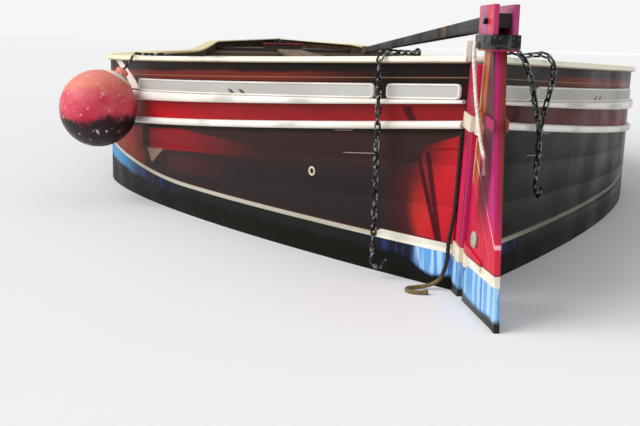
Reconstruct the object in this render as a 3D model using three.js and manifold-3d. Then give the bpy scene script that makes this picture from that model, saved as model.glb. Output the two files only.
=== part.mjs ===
// A traditional open wooden narrowboat: flat-bottomed and pointed at both ends,
// with an outboard rudder hung on a raked sternpost and steered by a long tiller.
// Millimetres. +X points to the bow, +Y to port and +Z up.
// The origin is the middle of the flat bottom's underside.
import * as THREE from 'three';
import { mergeVertices } from 'three/addons/utils/BufferGeometryUtils.js';
import Module from 'manifold-3d';

const wasm = await Module();
wasm.setup();

// Driving dimensions of the hull
const HALF_BEAM = 1041.5;
const CHINE_HALF_BEAM = 1010;
const APEX = 6650; // from midships to where the planking meets a post, at the waterline
const DRAUGHT = 450;
const BOTTOM_THICKNESS = 60;
const BOTTOM_EDGE = 10; // how far the bottom planks stand out past the sides
const PLANK = 48;
const PLANK_JOINTS = [-3350, 3050]; // where the lengths of planking and rail meet
const RABBET_HALF = 25; // half-breadth of the planking where it meets a post
const CENTRE_GAP = 8; // the planking's inner face stays this far from the centreline
const ENTRY_POWER = 1.45;
const SWIM_POWER = 1.6;
const SEAT = 0.3; // gap between pieces that touch
const PAST = 1; // how far a cutting or joining body reaches past a face
const RAKE = THREE.MathUtils.degToRad(8);
const RAKE_SLOPE = Math.tan(RAKE);

// How each end narrows: run at and above the waterline, swim at the bottom, both from the apex
const ENDS = {
  stern: { sign: -1, run: 1686, swim: 3300 },
  bow: { sign: 1, run: 1950, swim: 3600 },
};

// Distances from the apex at which the side changes direction
const STERN_STATIONS = [0, 10, 85, 170, 200, 340, 520, 730, 950, 1190, 1430, 1686, 2400, 3300];
const BOW_STATIONS = [0, 45, 180, 380, 600, 850, 1120, 1400, 1660, 1950, 2700, 3600];
const SHOULDER = STERN_STATIONS.indexOf(ENDS.stern.run);
const BOW_SHOULDER = STERN_STATIONS.length + BOW_STATIONS.length - 1
  - BOW_STATIONS.indexOf(ENDS.bow.run);

// Lines along the side: heights above the water at the posts and at the shoulders
const LINES = {
  lowerStrakeBottom: { post: 380, shoulder: 240 },
  lowerStrakeTop: { post: 398, shoulder: 263 },
  upperStrakeBottom: { post: 435, shoulder: 324 },
  panelBottom: { post: 443, shoulder: 360 },
  panelTop: { post: 478, shoulder: 404 },
  railBottom: { post: 522, shoulder: 465 },
  railTop: { post: 538, shoulder: 483 },
};
const SHEER = 50; // how much lower the lines run amidships than at the shoulders

// Levels at which the planking's section is drawn below the waterline
const LOW_LEVELS = [BOTTOM_THICKNESS + SEAT, 190, 320, DRAUGHT];

// Blank panels in the band between the upper strake and the rail, between two station distances
const PANELS = {
  stern_panel_long: { stations: STERN_STATIONS, from: 200, to: 1190 },
  stern_panel_short: { stations: STERN_STATIONS, from: 10, to: 170 },
};

const STRAKE_PROUD = 16;
const PANEL_PROUD = 6;
const GUNWALE_OUT = 14;
const GUNWALE_IN = 105;

// The sternpost and stempost, from their outer face to their inner tongue
const POST = { exposed: 55, outerHalf: 21, tongue: 110, tongueHalf: 7.6, tongueStart: 6 };
const HORN = { thick: 11, from: 23, width: 14, height: 32 };

// Decks, bulkheads and what stands on them
const DECK_TOP = 845;
const DECK_THICKNESS = 35;
const DECK_START = 112;
const FIT_GAP = 0.8; // clearance of a level piece's edge from the planking
const STERN_BULKHEAD_X = -5150;
const FORE_BULKHEAD_X = 4780;
const BULKHEAD_THICKNESS = 32;
const HATCH = { x: 5180, half: 250, coaming: 28, height: 45, lidOver: 12, lidThick: 22 };
const HATCH_OUTER = HATCH.half + HATCH.coaming;
const DOORWAY = { half: 285, low: 214, high: 740, gap: 6, thick: 24 };

// Hinges: a fixed rod with a lug at each end, and barrels on straps that turn on it
const HINGE = {
  rod: 5, bore: 5.8, barrel: 10, barrelLength: 60, strap: 60, lug: 14, inset: 60, sides: 12,
};
const DOOR_HINGE = { x: STERN_BULKHEAD_X + BULKHEAD_THICKNESS + 14, y: DOORWAY.half - 2 };
const LID_HINGE = {
  x: HATCH.x + HATCH_OUTER + HATCH.lidOver + 12,
  z: DECK_TOP + HATCH.height + 12,
};

const DOLLY = { x: -6020, y: 290, foot: 55, neck: 26, head: 42, height: 88 };
const STUD = {
  x: 5950, radius: 30, height: 125, bar: 110, barRadius: 16, barHeight: 85, baseX: 55, baseY: 70, base: 10,
};

// The hold
const HOLD = {
  aft: STERN_BULKHEAD_X + BULKHEAD_THICKNESS + SEAT,
  fore: FORE_BULKHEAD_X - BULKHEAD_THICKNESS - SEAT,
};
const KEELSON = { half: 75, top: 150 };
const KNEE = { count: 7, first: -3100, step: 1000, thick: 62, arm: 85, foot: 340, chamfer: 60 };
const STRINGER = { low: 715, high: 768, deep: 50 };
const BEAM = { xs: [-2600, -100, 2400], thick: 120, deep: 62 };
const FLOOR = { half: 780, thick: 28, clear: 12 };
const GANGPLANK = { half: 150, thick: 30, length: 5300 };

// The rudder, its bearings and the tiller
const AXIS_GAP = 24; // from the sternpost's outer face to the rudder's axis
const STOCK_FRONT = -6; // rudder's fore edge, measured from the axis
const STOCK_HALF = 17;
const TRAIL_HALF = 6;
const TRAIL_START = -200;
const BLADE_END = -760;
const GUDGEON = { heights: { upper: 393, lower: 97 }, high: 34, ring: 20, bore: 10.5, reach: 72, wall: 5 };
const PINTLE = { radius: 9.5, head: 22, reach: -120, shoulder: 0.8, nose: 9, noseHalf: 19 };
const HEAD = { aft: -6900, fore: -6786, half: 25, low: 1000, high: 1090, slotHalf: 15, slotFloor: 1012 };
const COLLAR = { low: 1004, high: 1032, wall: 5 };
const TILLER = {
  x: -6850, z: 1058, tip: -4750, drop: 0.0425, half: 14, tipHalf: 11, stub: 33, shoulder: 150, knob: 5,
};
const TILLER_PIN = { radius: 6, bore: 6.8 };
const BLADE_BOTTOM = 82;
const HEEL_PIN = { depth: 30, top: 40, half: 14 };
const HEEL_SHOE = { length: 78, low: 12 };

// Loose gear
const CORD_GAP = 0.6; // between a cord or chain and what it lies on
const FENDER = {
  distance: 1190, radius: 130, z: 765, clear: 3, tilt: 35, neck: 30, neckBase: 24, neckTip: 20, rows: 10, sides: 18,
};
const LANYARD = { radius: 5, steps: 22 };
const CHAIN = { distance: 160, out: 32, radius: 6.5, hookDrop: 38, steps: 26 };
const BRIDLE = {
  distance: 155, legs: [60, 192], join: 363, swivel: 300, hook: 210, radius: 6, legSteps: 10, dropSteps: 14,
};
const STERN_ROPE = { radius: 5, steps: 48 };
const RUDDER_ROPE = { radius: 4.5, steps: 22 };
const BOW_FENDER = {
  radius: 105, height: 230, z: 760, clear: 2, rows: 8, sides: 18, sling: 7, slingSteps: 14,
};

const CIRCLE_SIDES = 24;

// Paint and surface finish of each kind of piece
const FINISHES = {
  topside: { color: 0x8a1c22, roughness: 0.32, metalness: 0 },
  bottomTar: { color: 0x15130f, roughness: 0.6, metalness: 0 },
  cream: { color: 0xf0e4c4, roughness: 0.35, metalness: 0 },
  white: { color: 0xf2efe8, roughness: 0.35, metalness: 0 },
  panel: { color: 0xc9c7c4, roughness: 0.4, metalness: 0 },
  post: { color: 0xb82a3e, roughness: 0.35, metalness: 0 },
  bareWood: { color: 0x7a5a3a, roughness: 0.75, metalness: 0 },
  deckPaint: { color: 0x3a3430, roughness: 0.6, metalness: 0 },
  iron: { color: 0x23262a, roughness: 0.5, metalness: 0.8 },
  darkWood: { color: 0x1c1a1c, roughness: 0.5, metalness: 0 },
  fender: { color: 0xc8283a, roughness: 0.5, metalness: 0 },
  rope: { color: 0xcfc4a8, roughness: 0.9, metalness: 0 },
  darkRope: { color: 0x4a3f38, roughness: 0.9, metalness: 0 },
};

const model = new THREE.Group();

function add(name, geometry, finish, parent = model) {
  const mesh = new THREE.Mesh(geometry, new THREE.MeshStandardMaterial(FINISHES[finish]));
  mesh.name = name;
  parent.add(mesh);
  return mesh;
}

// Shape helpers

function positionsOnly(geometry) {
  const bare = geometry.index ? geometry.toNonIndexed() : geometry.clone();
  bare.deleteAttribute('normal');
  bare.deleteAttribute('uv');
  return mergeVertices(bare, 1e-4);
}

function solid(geometry) {
  const merged = positionsOnly(geometry);
  return new wasm.Manifold(new wasm.Mesh({
    numProp: 3,
    vertProperties: new Float32Array(merged.attributes.position.array),
    triVerts: new Uint32Array(merged.index.array),
  }));
}

function fromSolid(body) {
  const { vertProperties, triVerts } = body.getMesh();
  const geometry = new THREE.BufferGeometry();
  geometry.setAttribute('position', new THREE.BufferAttribute(new Float32Array(vertProperties), 3));
  geometry.setIndex(new THREE.BufferAttribute(new Uint32Array(triVerts), 1));
  geometry.computeVertexNormals();
  return geometry;
}

function union(first, ...others) {
  return fromSolid(others.reduce((body, next) => body.add(solid(next)), solid(first)));
}

function cut(first, ...others) {
  return fromSolid(others.reduce((body, next) => body.subtract(solid(next)), solid(first)));
}

function box(low, high) {
  const size = high.map((value, i) => value - low[i]);
  const geometry = new THREE.BoxGeometry(...size);
  return geometry.translate(...high.map((value, i) => (value + low[i]) / 2));
}

// A closed body swept through rings of points. Each ring lists one face's points,
// then the opposite face's in reverse order, so its two halves pair like a ladder.
function sweep(rings) {
  const size = rings[0].length;
  const corners = rings.flat().flatMap((point) => [point.x, point.y, point.z]);
  const faces = [];
  const quad = (a, b, c, d) => faces.push(a, b, c, a, c, d);
  for (let i = 0; i < rings.length - 1; i += 1) {
    for (let j = 0; j < size; j += 1) {
      const next = (j + 1) % size;
      const here = i * size;
      quad(here + j, here + size + j, here + size + next, here + next);
    }
  }
  const last = (rings.length - 1) * size;
  for (let j = 0; j < size / 2 - 1; j += 1) {
    const across = size - 1 - j;
    quad(j, j + 1, across - 1, across);
    quad(last + across, last + across - 1, last + j + 1, last + j);
  }
  const geometry = new THREE.BufferGeometry();
  geometry.setAttribute('position', new THREE.Float32BufferAttribute(corners, 3));
  geometry.setIndex(faces);
  if (signedVolume(geometry) < 0) {
    geometry.setIndex(faces.map((_, k) => faces[k - (k % 3) + [0, 2, 1][k % 3]]));
  }
  geometry.computeVertexNormals();
  return geometry;
}

function signedVolume(geometry) {
  const { index } = geometry;
  const corner = (k) => new THREE.Vector3().fromBufferAttribute(geometry.attributes.position, index.getX(k));
  let total = 0;
  for (let k = 0; k < index.count; k += 3) {
    total += corner(k).dot(corner(k + 1).cross(corner(k + 2)));
  }
  return total;
}

// A flat outline in the ground plane, raised between two heights
function raised(outline, low, high) {
  const shape = new THREE.Shape(outline.map(([x, y]) => new THREE.Vector2(x, y)));
  return new THREE.ExtrudeGeometry(shape, { depth: high - low, bevelEnabled: false }).translate(0, 0, low);
}

// A flat outline drawn across the boat, as [y, z], with its thickness along X
function acrossPlate(outline, fromX, toX) {
  const shape = new THREE.Shape(outline.map(([y, z]) => new THREE.Vector2(y, z)));
  const geometry = new THREE.ExtrudeGeometry(shape, { depth: toX - fromX, bevelEnabled: false });
  return geometry.rotateX(Math.PI / 2).rotateZ(Math.PI / 2).translate(fromX, 0, 0);
}

// A flat outline drawn along the boat, as [x, z], with its thickness across
function alongPlate(outline, half) {
  const shape = new THREE.Shape(outline.map(([x, z]) => new THREE.Vector2(x, z)));
  const geometry = new THREE.ExtrudeGeometry(shape, { depth: 2 * half, bevelEnabled: false });
  return geometry.rotateX(Math.PI / 2).translate(0, half, 0);
}

// Leans a body with the rake of a post: sign is the end that the post stands at
function leaned(geometry, sign) {
  const lean = new THREE.Matrix4().set(
    1, 0, sign * RAKE_SLOPE, -sign * RAKE_SLOPE * DRAUGHT,
    0, 1, 0, 0,
    0, 0, 1, 0,
    0, 0, 0, 1,
  );
  return geometry.applyMatrix4(lean);
}

function upright(radius, low, high, sides = CIRCLE_SIDES) {
  const geometry = new THREE.CylinderGeometry(radius, radius, high - low, sides);
  return geometry.rotateX(Math.PI / 2).translate(0, 0, (low + high) / 2);
}

function acrossRod(radius, half, sides = CIRCLE_SIDES) {
  return new THREE.CylinderGeometry(radius, radius, 2 * half, sides);
}

function lathed(profile, sides = CIRCLE_SIDES) {
  const points = profile.map(([radius, z]) => new THREE.Vector2(radius, z));
  return new THREE.LatheGeometry(points, sides).rotateX(Math.PI / 2);
}

// A round tube along a smooth path through the given points
function tube(points, radius, steps, sides = 8) {
  const path = new THREE.CatmullRomCurve3(points.map((point) => new THREE.Vector3(...point)));
  const ring = Array.from({ length: sides }, (_, k) => {
    const angle = (2 * Math.PI * k) / sides;
    return new THREE.Vector2(radius * Math.cos(angle), radius * Math.sin(angle));
  });
  return new THREE.ExtrudeGeometry(new THREE.Shape(ring), { steps, extrudePath: path, bevelEnabled: false });
}

function mirrored(geometry) {
  const flipped = positionsOnly(geometry).scale(1, -1, 1);
  const faces = Array.from(flipped.index.array);
  flipped.setIndex(faces.map((_, k) => faces[k - (k % 3) + [0, 2, 1][k % 3]]));
  flipped.computeVertexNormals();
  return flipped;
}

// The hull's form

const STATIONS = [
  ...STERN_STATIONS.map((distance) => ({ end: ENDS.stern, distance })),
  ...BOW_STATIONS.map((distance) => ({ end: ENDS.bow, distance })).reverse(),
];

function narrowing(distance, length, full, power) {
  const left = Math.max(0, 1 - distance / length);
  return RABBET_HALF + (full - RABBET_HALF) * (1 - left ** power);
}

// The planking's outer face on the port side
function sidePoint({ end, distance }, z) {
  const above = narrowing(distance, end.run, HALF_BEAM, ENTRY_POWER);
  const below = narrowing(distance, end.swim, CHINE_HALF_BEAM, SWIM_POWER);
  const share = THREE.MathUtils.clamp((z - BOTTOM_THICKNESS) / (DRAUGHT - BOTTOM_THICKNESS), 0, 1);
  const fade = Math.max(0, 1 - distance / end.run) ** 2;
  const reach = APEX - distance + RAKE_SLOPE * (z - DRAUGHT) * fade;
  return new THREE.Vector2(end.sign * reach, below + (above - below) * share);
}

// The direction, in plan, that keeps an offset face parallel to the planking at a station
function outward(index, z) {
  const here = sidePoint(STATIONS[index], z);
  const normals = [index - 1, index + 1]
    .filter((k) => k >= 0 && k < STATIONS.length)
    .map((k) => {
      const along = sidePoint(STATIONS[k], z).sub(here).multiplyScalar(k - index).normalize();
      return new THREE.Vector2(-along.y, along.x);
    });
  if (normals.length === 1) {
    return normals[0];
  }
  const [before, after] = normals;
  return before.clone().add(after).divideScalar(1 + before.dot(after));
}

// A point at a distance outside (or, if negative, inside) the planking's outer face.
// An inside point stops short of the centreline.
function offsetPoint(index, z, offset) {
  const base = sidePoint(STATIONS[index], z);
  const out = outward(index, z);
  const limit = (base.y - CENTRE_GAP) / out.y;
  const point = base.add(out.multiplyScalar(Math.max(offset, -limit)));
  return new THREE.Vector3(point.x, point.y, z);
}

function lineHeight(line, { end, distance }) {
  const { post, shoulder } = LINES[line];
  const left = Math.max(0, 1 - distance / end.run);
  const middle = THREE.MathUtils.smoothstep(distance, end.run, APEX);
  return DRAUGHT + shoulder + (post - shoulder) * left ** 1.5 - SHEER * middle;
}

const range = (first, last) => Array.from({ length: last - first + 1 }, (_, k) => first + k);
const ALL = range(0, STATIONS.length - 1);

// A strip that follows the planking between two lines, from one station to another
function strip(indices, low, high, innerOffset, outerOffset) {
  return sweep(indices.map((index) => {
    const bottom = low(STATIONS[index]);
    const top = high(STATIONS[index]);
    return [
      offsetPoint(index, bottom, innerOffset),
      offsetPoint(index, top, innerOffset),
      offsetPoint(index, top, outerOffset),
      offsetPoint(index, bottom, outerOffset),
    ];
  }));
}

const lineOf = (name, lift = 0) => (station) => lineHeight(name, station) + lift;
const level = (z) => () => z;

function addBothSides(name, geometry, finish) {
  add(`${name}_port`, geometry, finish);
  add(`${name}_starboard`, mirrored(geometry), finish);
}

// Adds a strip in the lengths that it is built of, butted at the plank joints
function addInLengths(name, geometry, finish) {
  const ends = [-2 * APEX, ...PLANK_JOINTS, 2 * APEX];
  for (const [k, length] of ['aft', 'middle', 'fore'].entries()) {
    const span = box([ends[k] + SEAT / 2, 0, 0], [ends[k + 1] - SEAT / 2, 2 * HALF_BEAM, 2 * DECK_TOP]);
    const part = fromSolid(solid(geometry).intersect(solid(span)));
    addBothSides(`${name}_${length}`, part, finish);
  }
}

// The inner face of the planking as a plan line at one height, from stern to bow
function innerLine(z) {
  return ALL.map((index) => offsetPoint(index, z, -PLANK - FIT_GAP));
}

function innerHalf(x, z) {
  const line = innerLine(z);
  const k = line.findIndex((point) => point.x > x);
  const share = (x - line[k - 1].x) / (line[k].x - line[k - 1].x);
  return line[k - 1].y + (line[k].y - line[k - 1].y) * share;
}

// The hull

function bottom() {
  const edge = ALL.map((index) => offsetPoint(index, BOTTOM_THICKNESS, BOTTOM_EDGE));
  const heel = APEX + POST.exposed - RAKE_SLOPE * (DRAUGHT - BOTTOM_THICKNESS);
  const port = [
    [-heel, POST.outerHalf],
    ...edge.map((point) => [point.x, point.y]),
    [heel, POST.outerHalf],
  ];
  const starboard = port.map(([x, y]) => [x, -y]).reverse();
  add('bottom', raised([...port, ...starboard], 0, BOTTOM_THICKNESS), 'bottomTar');
}

function sides() {
  const lines = ['lowerStrakeBottom', 'lowerStrakeTop', 'upperStrakeBottom', 'panelBottom', 'panelTop', 'railBottom'];
  const planking = sweep(ALL.map((index) => {
    const levels = [...LOW_LEVELS, ...lines.map((line) => lineHeight(line, STATIONS[index]))];
    const outer = levels.map((z) => offsetPoint(index, z, 0));
    const inner = levels.map((z) => offsetPoint(index, z, -PLANK));
    return [...outer, ...inner.reverse()];
  }));
  addInLengths('side', planking, 'topside');
}

function gunwales() {
  const cap = strip(ALL, lineOf('railBottom', SEAT), lineOf('railTop'), -GUNWALE_IN, GUNWALE_OUT);
  const horns = Object.values(ENDS).map(({ sign }) => {
    const outer = sign * (APEX + HORN.thick / 2);
    const inner = sign * (APEX - HORN.thick / 2);
    const low = DRAUGHT + LINES.railBottom.post + 4;
    const high = DRAUGHT + LINES.railTop.post + HORN.height;
    const plate = box(
      [Math.min(outer, inner), HORN.from, low],
      [Math.max(outer, inner), HORN.from + HORN.width, high],
    );
    return leaned(plate, sign);
  });
  addInLengths('gunwale', union(cap, ...horns), 'cream');
}

function strakes() {
  const upper = strip(ALL, lineOf('upperStrakeBottom'), lineOf('panelBottom'), SEAT, STRAKE_PROUD);
  const lower = strip(ALL, lineOf('lowerStrakeBottom'), lineOf('lowerStrakeTop'), SEAT, STRAKE_PROUD);
  addBothSides('upper_strake', upper, 'white');
  addBothSides('lower_strake', lower, 'white');
}

function panels() {
  for (const [name, { stations, from, to }] of Object.entries(PANELS)) {
    const indices = range(stations.indexOf(from), stations.indexOf(to));
    const board = strip(indices, lineOf('panelBottom', SEAT), lineOf('panelTop'), SEAT, PANEL_PROUD);
    addBothSides(name, board, 'panel');
  }
}

function posts() {
  const { exposed, outerHalf, tongue, tongueHalf, tongueStart } = POST;
  const rabbet = RABBET_HALF - SEAT;
  for (const [name, { sign }] of Object.entries(ENDS)) {
    const port = [[exposed, outerHalf], [SEAT, rabbet], [-tongueStart, tongueHalf], [-tongue, tongueHalf]]
      .map(([out, y]) => [sign * (APEX + out), y]);
    const outline = [...port, ...port.map(([x, y]) => [x, -y]).reverse()];
    const top = DRAUGHT + LINES.railBottom.post - SEAT;
    const timber = leaned(raised(outline, BOTTOM_THICKNESS + SEAT, top), sign);
    add(name === 'stern' ? 'sternpost' : 'stempost', timber, 'post');
  }
}

// The hold and decks

function keelson() {
  const { half, top } = KEELSON;
  add('keelson', box([HOLD.aft, -half, BOTTOM_THICKNESS + SEAT], [HOLD.fore, half, top]), 'bareWood');
}

function frames() {
  const { count, first, step, thick, arm, foot, chamfer } = KNEE;
  const low = BOTTOM_THICKNESS + SEAT;
  const lowOuter = CHINE_HALF_BEAM - PLANK - SEAT;
  const highOuter = HALF_BEAM - PLANK - SEAT;
  const footTop = KEELSON.top - 2;
  const knee = [
    [foot, low], [lowOuter, low], [highOuter, DRAUGHT], [highOuter, STRINGER.high],
    [highOuter - arm, STRINGER.high], [highOuter - arm, footTop + chamfer],
    [highOuter - arm - chamfer, footTop], [foot, footTop],
  ];
  const knees = Array.from({ length: count }, (_, k) => {
    const x = first + k * step;
    return acrossPlate(knee, x - thick / 2, x + thick / 2);
  });
  const beamSeats = range(SHOULDER, BOW_SHOULDER);
  const stringer = strip(
    beamSeats, level(STRINGER.low), level(STRINGER.high), -PLANK - STRINGER.deep, -PLANK - SEAT,
  );
  addBothSides('frames', union(stringer, ...knees), 'bareWood');
}

function beams() {
  const half = HALF_BEAM - PLANK - SEAT;
  const low = STRINGER.high + SEAT;
  for (const [k, x] of BEAM.xs.entries()) {
    const timber = box([x - BEAM.thick / 2, -half, low], [x + BEAM.thick / 2, half, low + BEAM.deep]);
    add(`beam_${['aft', 'middle', 'fore'][k]}`, timber, 'bareWood');
  }
  const top = low + BEAM.deep + SEAT;
  const { half: plankHalf, thick, length } = GANGPLANK;
  const centre = BEAM.xs[1];
  const plank = box([centre - length / 2, -plankHalf, top], [centre + length / 2, plankHalf, top + thick]);
  add('gangplank', plank, 'bareWood');
}

function floorboards() {
  const low = KEELSON.top + SEAT;
  const outline = insideOutline(HOLD.aft, HOLD.fore, low)
    .map(([x, y]) => [x, Math.sign(y) * Math.min(Math.abs(y) - FLOOR.clear, FLOOR.half)]);
  add('floorboards', raised(outline, low, low + FLOOR.thick), 'bareWood');
}

// The outline of a level piece that fills the boat between two places along it
function insideOutline(fromX, toX, z) {
  const between = innerLine(z).filter((point) => point.x > fromX && point.x < toX);
  const port = [[fromX, innerHalf(fromX, z)], ...between.map((point) => [point.x, point.y]), [toX, innerHalf(toX, z)]];
  return [...port, ...port.map(([x, y]) => [x, -y]).reverse()];
}

function decks() {
  const low = DECK_TOP - DECK_THICKNESS;
  const { x, half } = HATCH;
  const deckEnd = APEX - DECK_START;
  add('stern_deck', raised(insideOutline(-deckEnd, STERN_BULKHEAD_X, low), low, DECK_TOP), 'deckPaint');
  const hatchHole = box([x - half, -half, low - PAST], [x + half, half, DECK_TOP + PAST]);
  const fore = cut(raised(insideOutline(FORE_BULKHEAD_X, deckEnd, low), low, DECK_TOP), hatchHole);
  add('fore_deck', fore, 'deckPaint');
}

function bulkheadOutline(x) {
  const levels = [...LOW_LEVELS, DECK_TOP - DECK_THICKNESS - SEAT];
  const port = levels.map((z) => [innerHalf(x, z) - FIT_GAP, z]);
  return [...port, ...port.map(([y, z]) => [-y, z]).reverse()];
}

function bulkheads() {
  const face = STERN_BULKHEAD_X + BULKHEAD_THICKNESS;
  const wall = acrossPlate(bulkheadOutline(STERN_BULKHEAD_X), STERN_BULKHEAD_X, face);
  const { half, low, high } = DOORWAY;
  const doorway = box([STERN_BULKHEAD_X - PAST, -half, low], [face + PAST, half, high]);
  add('stern_bulkhead', union(cut(wall, doorway), ...hingeRods()), 'deckPaint');
  const fore = acrossPlate(
    bulkheadOutline(FORE_BULKHEAD_X), FORE_BULKHEAD_X - BULKHEAD_THICKNESS, FORE_BULKHEAD_X,
  );
  add('fore_bulkhead', fore, 'deckPaint');
}

function hingeRods() {
  return [1, -1].flatMap((side) => {
    const rod = upright(HINGE.rod, DOORWAY.low - 2, DOORWAY.high + 2, HINGE.sides)
      .translate(DOOR_HINGE.x, side * DOOR_HINGE.y, 0);
    const lugs = [DOORWAY.low - 2 * HINGE.lug, DOORWAY.high].map((z) => box(
      [STERN_BULKHEAD_X + BULKHEAD_THICKNESS - PAST, side * DOOR_HINGE.y - HINGE.lug, z],
      [DOOR_HINGE.x + HINGE.rod + 4, side * DOOR_HINGE.y + HINGE.lug, z + 2 * HINGE.lug],
    ));
    return [rod, ...lugs];
  });
}

function doors() {
  const { half, low, high, gap, thick } = DOORWAY;
  const face = STERN_BULKHEAD_X + BULKHEAD_THICKNESS;
  for (const [name, side] of [['port', 1], ['starboard', -1]]) {
    const edges = [side * gap / 2, side * (half - gap)].sort((a, b) => a - b);
    const leaf = box([face - thick, edges[0], low + gap], [face, edges[1], high - gap]);
    const barrels = [low + HINGE.inset, high - HINGE.inset - HINGE.barrelLength].flatMap((z) => {
      const top = z + HINGE.barrelLength;
      const barrel = upright(HINGE.barrel, z, top, HINGE.sides).translate(DOOR_HINGE.x, side * DOOR_HINGE.y, 0);
      const ends = [side * (half - HINGE.strap), side * DOOR_HINGE.y].sort((a, b) => a - b);
      return [barrel, box([face - PAST, ends[0], z], [DOOR_HINGE.x, ends[1], top])];
    });
    const bore = upright(HINGE.bore, low, high, HINGE.sides).translate(DOOR_HINGE.x, side * DOOR_HINGE.y, 0);
    add(`locker_door_${name}`, cut(union(leaf, ...barrels), bore), 'deckPaint');
  }
}

// The fore hatch: a coaming round the hole, and a lid on a crosswise rod at its fore edge
function foreHatch() {
  const { x, half, height, lidOver, lidThick } = HATCH;
  const outer = HATCH_OUTER;
  const low = DECK_TOP + SEAT;
  const top = DECK_TOP + height;
  const ring = cut(
    box([x - outer, -outer, low], [x + outer, outer, top]),
    box([x - half, -half, low - PAST], [x + half, half, top + PAST]),
  );
  const across = outer - 40;
  const rod = acrossRod(HINGE.rod, across, HINGE.sides).translate(LID_HINGE.x, 0, LID_HINGE.z);
  const lugs = [-1, 1].flatMap((side) => {
    const from = side * across - HINGE.lug;
    const to = side * across + HINGE.lug;
    return [
      box([x + outer - PAST, from, top - 30], [LID_HINGE.x + 8, to, top - 3]),
      box([LID_HINGE.x - 8, from, top - 4], [LID_HINGE.x + 8, to, LID_HINGE.z + 8]),
    ];
  });
  add('fore_coaming', union(ring, rod, ...lugs), 'deckPaint');

  const over = outer + lidOver;
  const lidLow = top + 1.5 * SEAT;
  const board = box([x - over, -over, lidLow], [x + outer, over, lidLow + lidThick]);
  const barrels = [-1, 1].flatMap((side) => {
    const middle = side * (across - 90);
    const halfLength = HINGE.barrelLength / 2;
    const from = middle - halfLength;
    const to = middle + halfLength;
    const barrel = acrossRod(HINGE.barrel, halfLength, HINGE.sides).translate(LID_HINGE.x, middle, LID_HINGE.z);
    const strap = box([x + outer - HINGE.strap, from, lidLow + lidThick - PAST], [LID_HINGE.x, to, lidLow + lidThick + 5]);
    const tab = box([x + outer - PAST, from, LID_HINGE.z - 4], [LID_HINGE.x, to, lidLow + lidThick + 4]);
    return [barrel, strap, tab];
  });
  const bore = acrossRod(HINGE.bore, outer, HINGE.sides).translate(LID_HINGE.x, 0, LID_HINGE.z);
  add('fore_hatch_lid', cut(union(board, ...barrels), bore), 'topside');
}

function mooringPosts() {
  const { foot, neck, head, height } = DOLLY;
  const base = DECK_TOP + SEAT;
  const profile = [
    [0, base], [foot, base], [foot, base + 10], [neck, base + 22], [neck, base + height - 30],
    [head, base + height - 14], [head, base + height - 4], [0, base + height],
  ];
  for (const [name, side] of [['port', 1], ['starboard', -1]]) {
    add(`dolly_${name}`, lathed(profile).translate(DOLLY.x, side * DOLLY.y, 0), 'iron');
  }
  const { x, radius, height: studHeight, bar, barRadius, barHeight, baseX, baseY, base: plate } = STUD;
  const stud = union(
    upright(radius, base, base + studHeight),
    box([-baseX, -baseY, base], [baseX, baseY, base + plate]),
    acrossRod(barRadius, bar).translate(0, 0, base + barHeight),
  );
  add('bow_stud', stud.translate(x, 0, 0), 'iron');
}

// The rudder's frame: its Z runs up the raked axis and its X points forward
const rudderFrame = new THREE.Group();
rudderFrame.position.set(-(APEX + POST.exposed + AXIS_GAP), 0, DRAUGHT);
rudderFrame.rotation.y = -RAKE;
model.add(rudderFrame);

// A world point on the centreline, in the rudder's frame, as [x, z]
function inRudderFrame([x, z]) {
  const ahead = x + APEX + POST.exposed + AXIS_GAP;
  const up = z - DRAUGHT;
  return [
    ahead * Math.cos(RAKE) + up * Math.sin(RAKE),
    up * Math.cos(RAKE) - ahead * Math.sin(RAKE),
  ];
}

const axisHeight = (name) => GUDGEON.heights[name] / Math.cos(RAKE);

// Half the stock's thickness at a distance behind the axis
function stockHalf(x) {
  const share = (x - STOCK_FRONT) / (TRAIL_START - STOCK_FRONT);
  return STOCK_HALF + (TRAIL_HALF - STOCK_HALF) * share;
}

function rudderBlade() {
  const plan = [
    [STOCK_FRONT, STOCK_HALF], [TRAIL_START, TRAIL_HALF], [BLADE_END, TRAIL_HALF],
    [BLADE_END, -TRAIL_HALF], [TRAIL_START, -TRAIL_HALF], [STOCK_FRONT, -STOCK_HALF],
  ];
  const tapered = raised(plan, -420, 600);
  const aftEdge = [
    [-6870, HEAD.low - SEAT], [-6966, DRAUGHT], [-6980, 385], [-7040, 352],
    [-7300, 318], [-7385, 270], [-7400, 180], [-7370, BLADE_BOTTOM],
  ].map(inRudderFrame);
  const top = inRudderFrame([-6790, HEAD.low - SEAT]);
  const foot = inRudderFrame([-6640, BLADE_BOTTOM]);
  const front = [
    [STOCK_FRONT, foot[1] + (foot[0] - STOCK_FRONT) * RAKE_SLOPE],
    [STOCK_FRONT, top[1] + (top[0] - STOCK_FRONT) * RAKE_SLOPE],
  ];
  const profile = alongPlate([...front, ...aftEdge], 2 * STOCK_HALF);
  const { high, ring } = GUDGEON;
  const notches = Object.keys(GUDGEON.heights).map((name) => {
    const z = axisHeight(name);
    return upright(ring + 6, z - high / 2 - 6, z + high / 2 + 3);
  });
  const body = solid(tapered).intersect(solid(profile));
  const blade = notches.reduce((rest, notch) => rest.subtract(solid(notch)), body);
  const footZ = front[0][1];
  const heel = union(
    upright(PINTLE.radius, footZ - HEEL_PIN.depth, footZ + HEEL_PIN.top),
    box(
      [STOCK_FRONT - 30, -HEEL_PIN.half, footZ + 6],
      [PINTLE.radius - PAST, HEEL_PIN.half, footZ + HEEL_PIN.top],
    ),
  );
  add('rudder_blade', fromSolid(blade.add(solid(heel))), 'post', rudderFrame);
}

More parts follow.
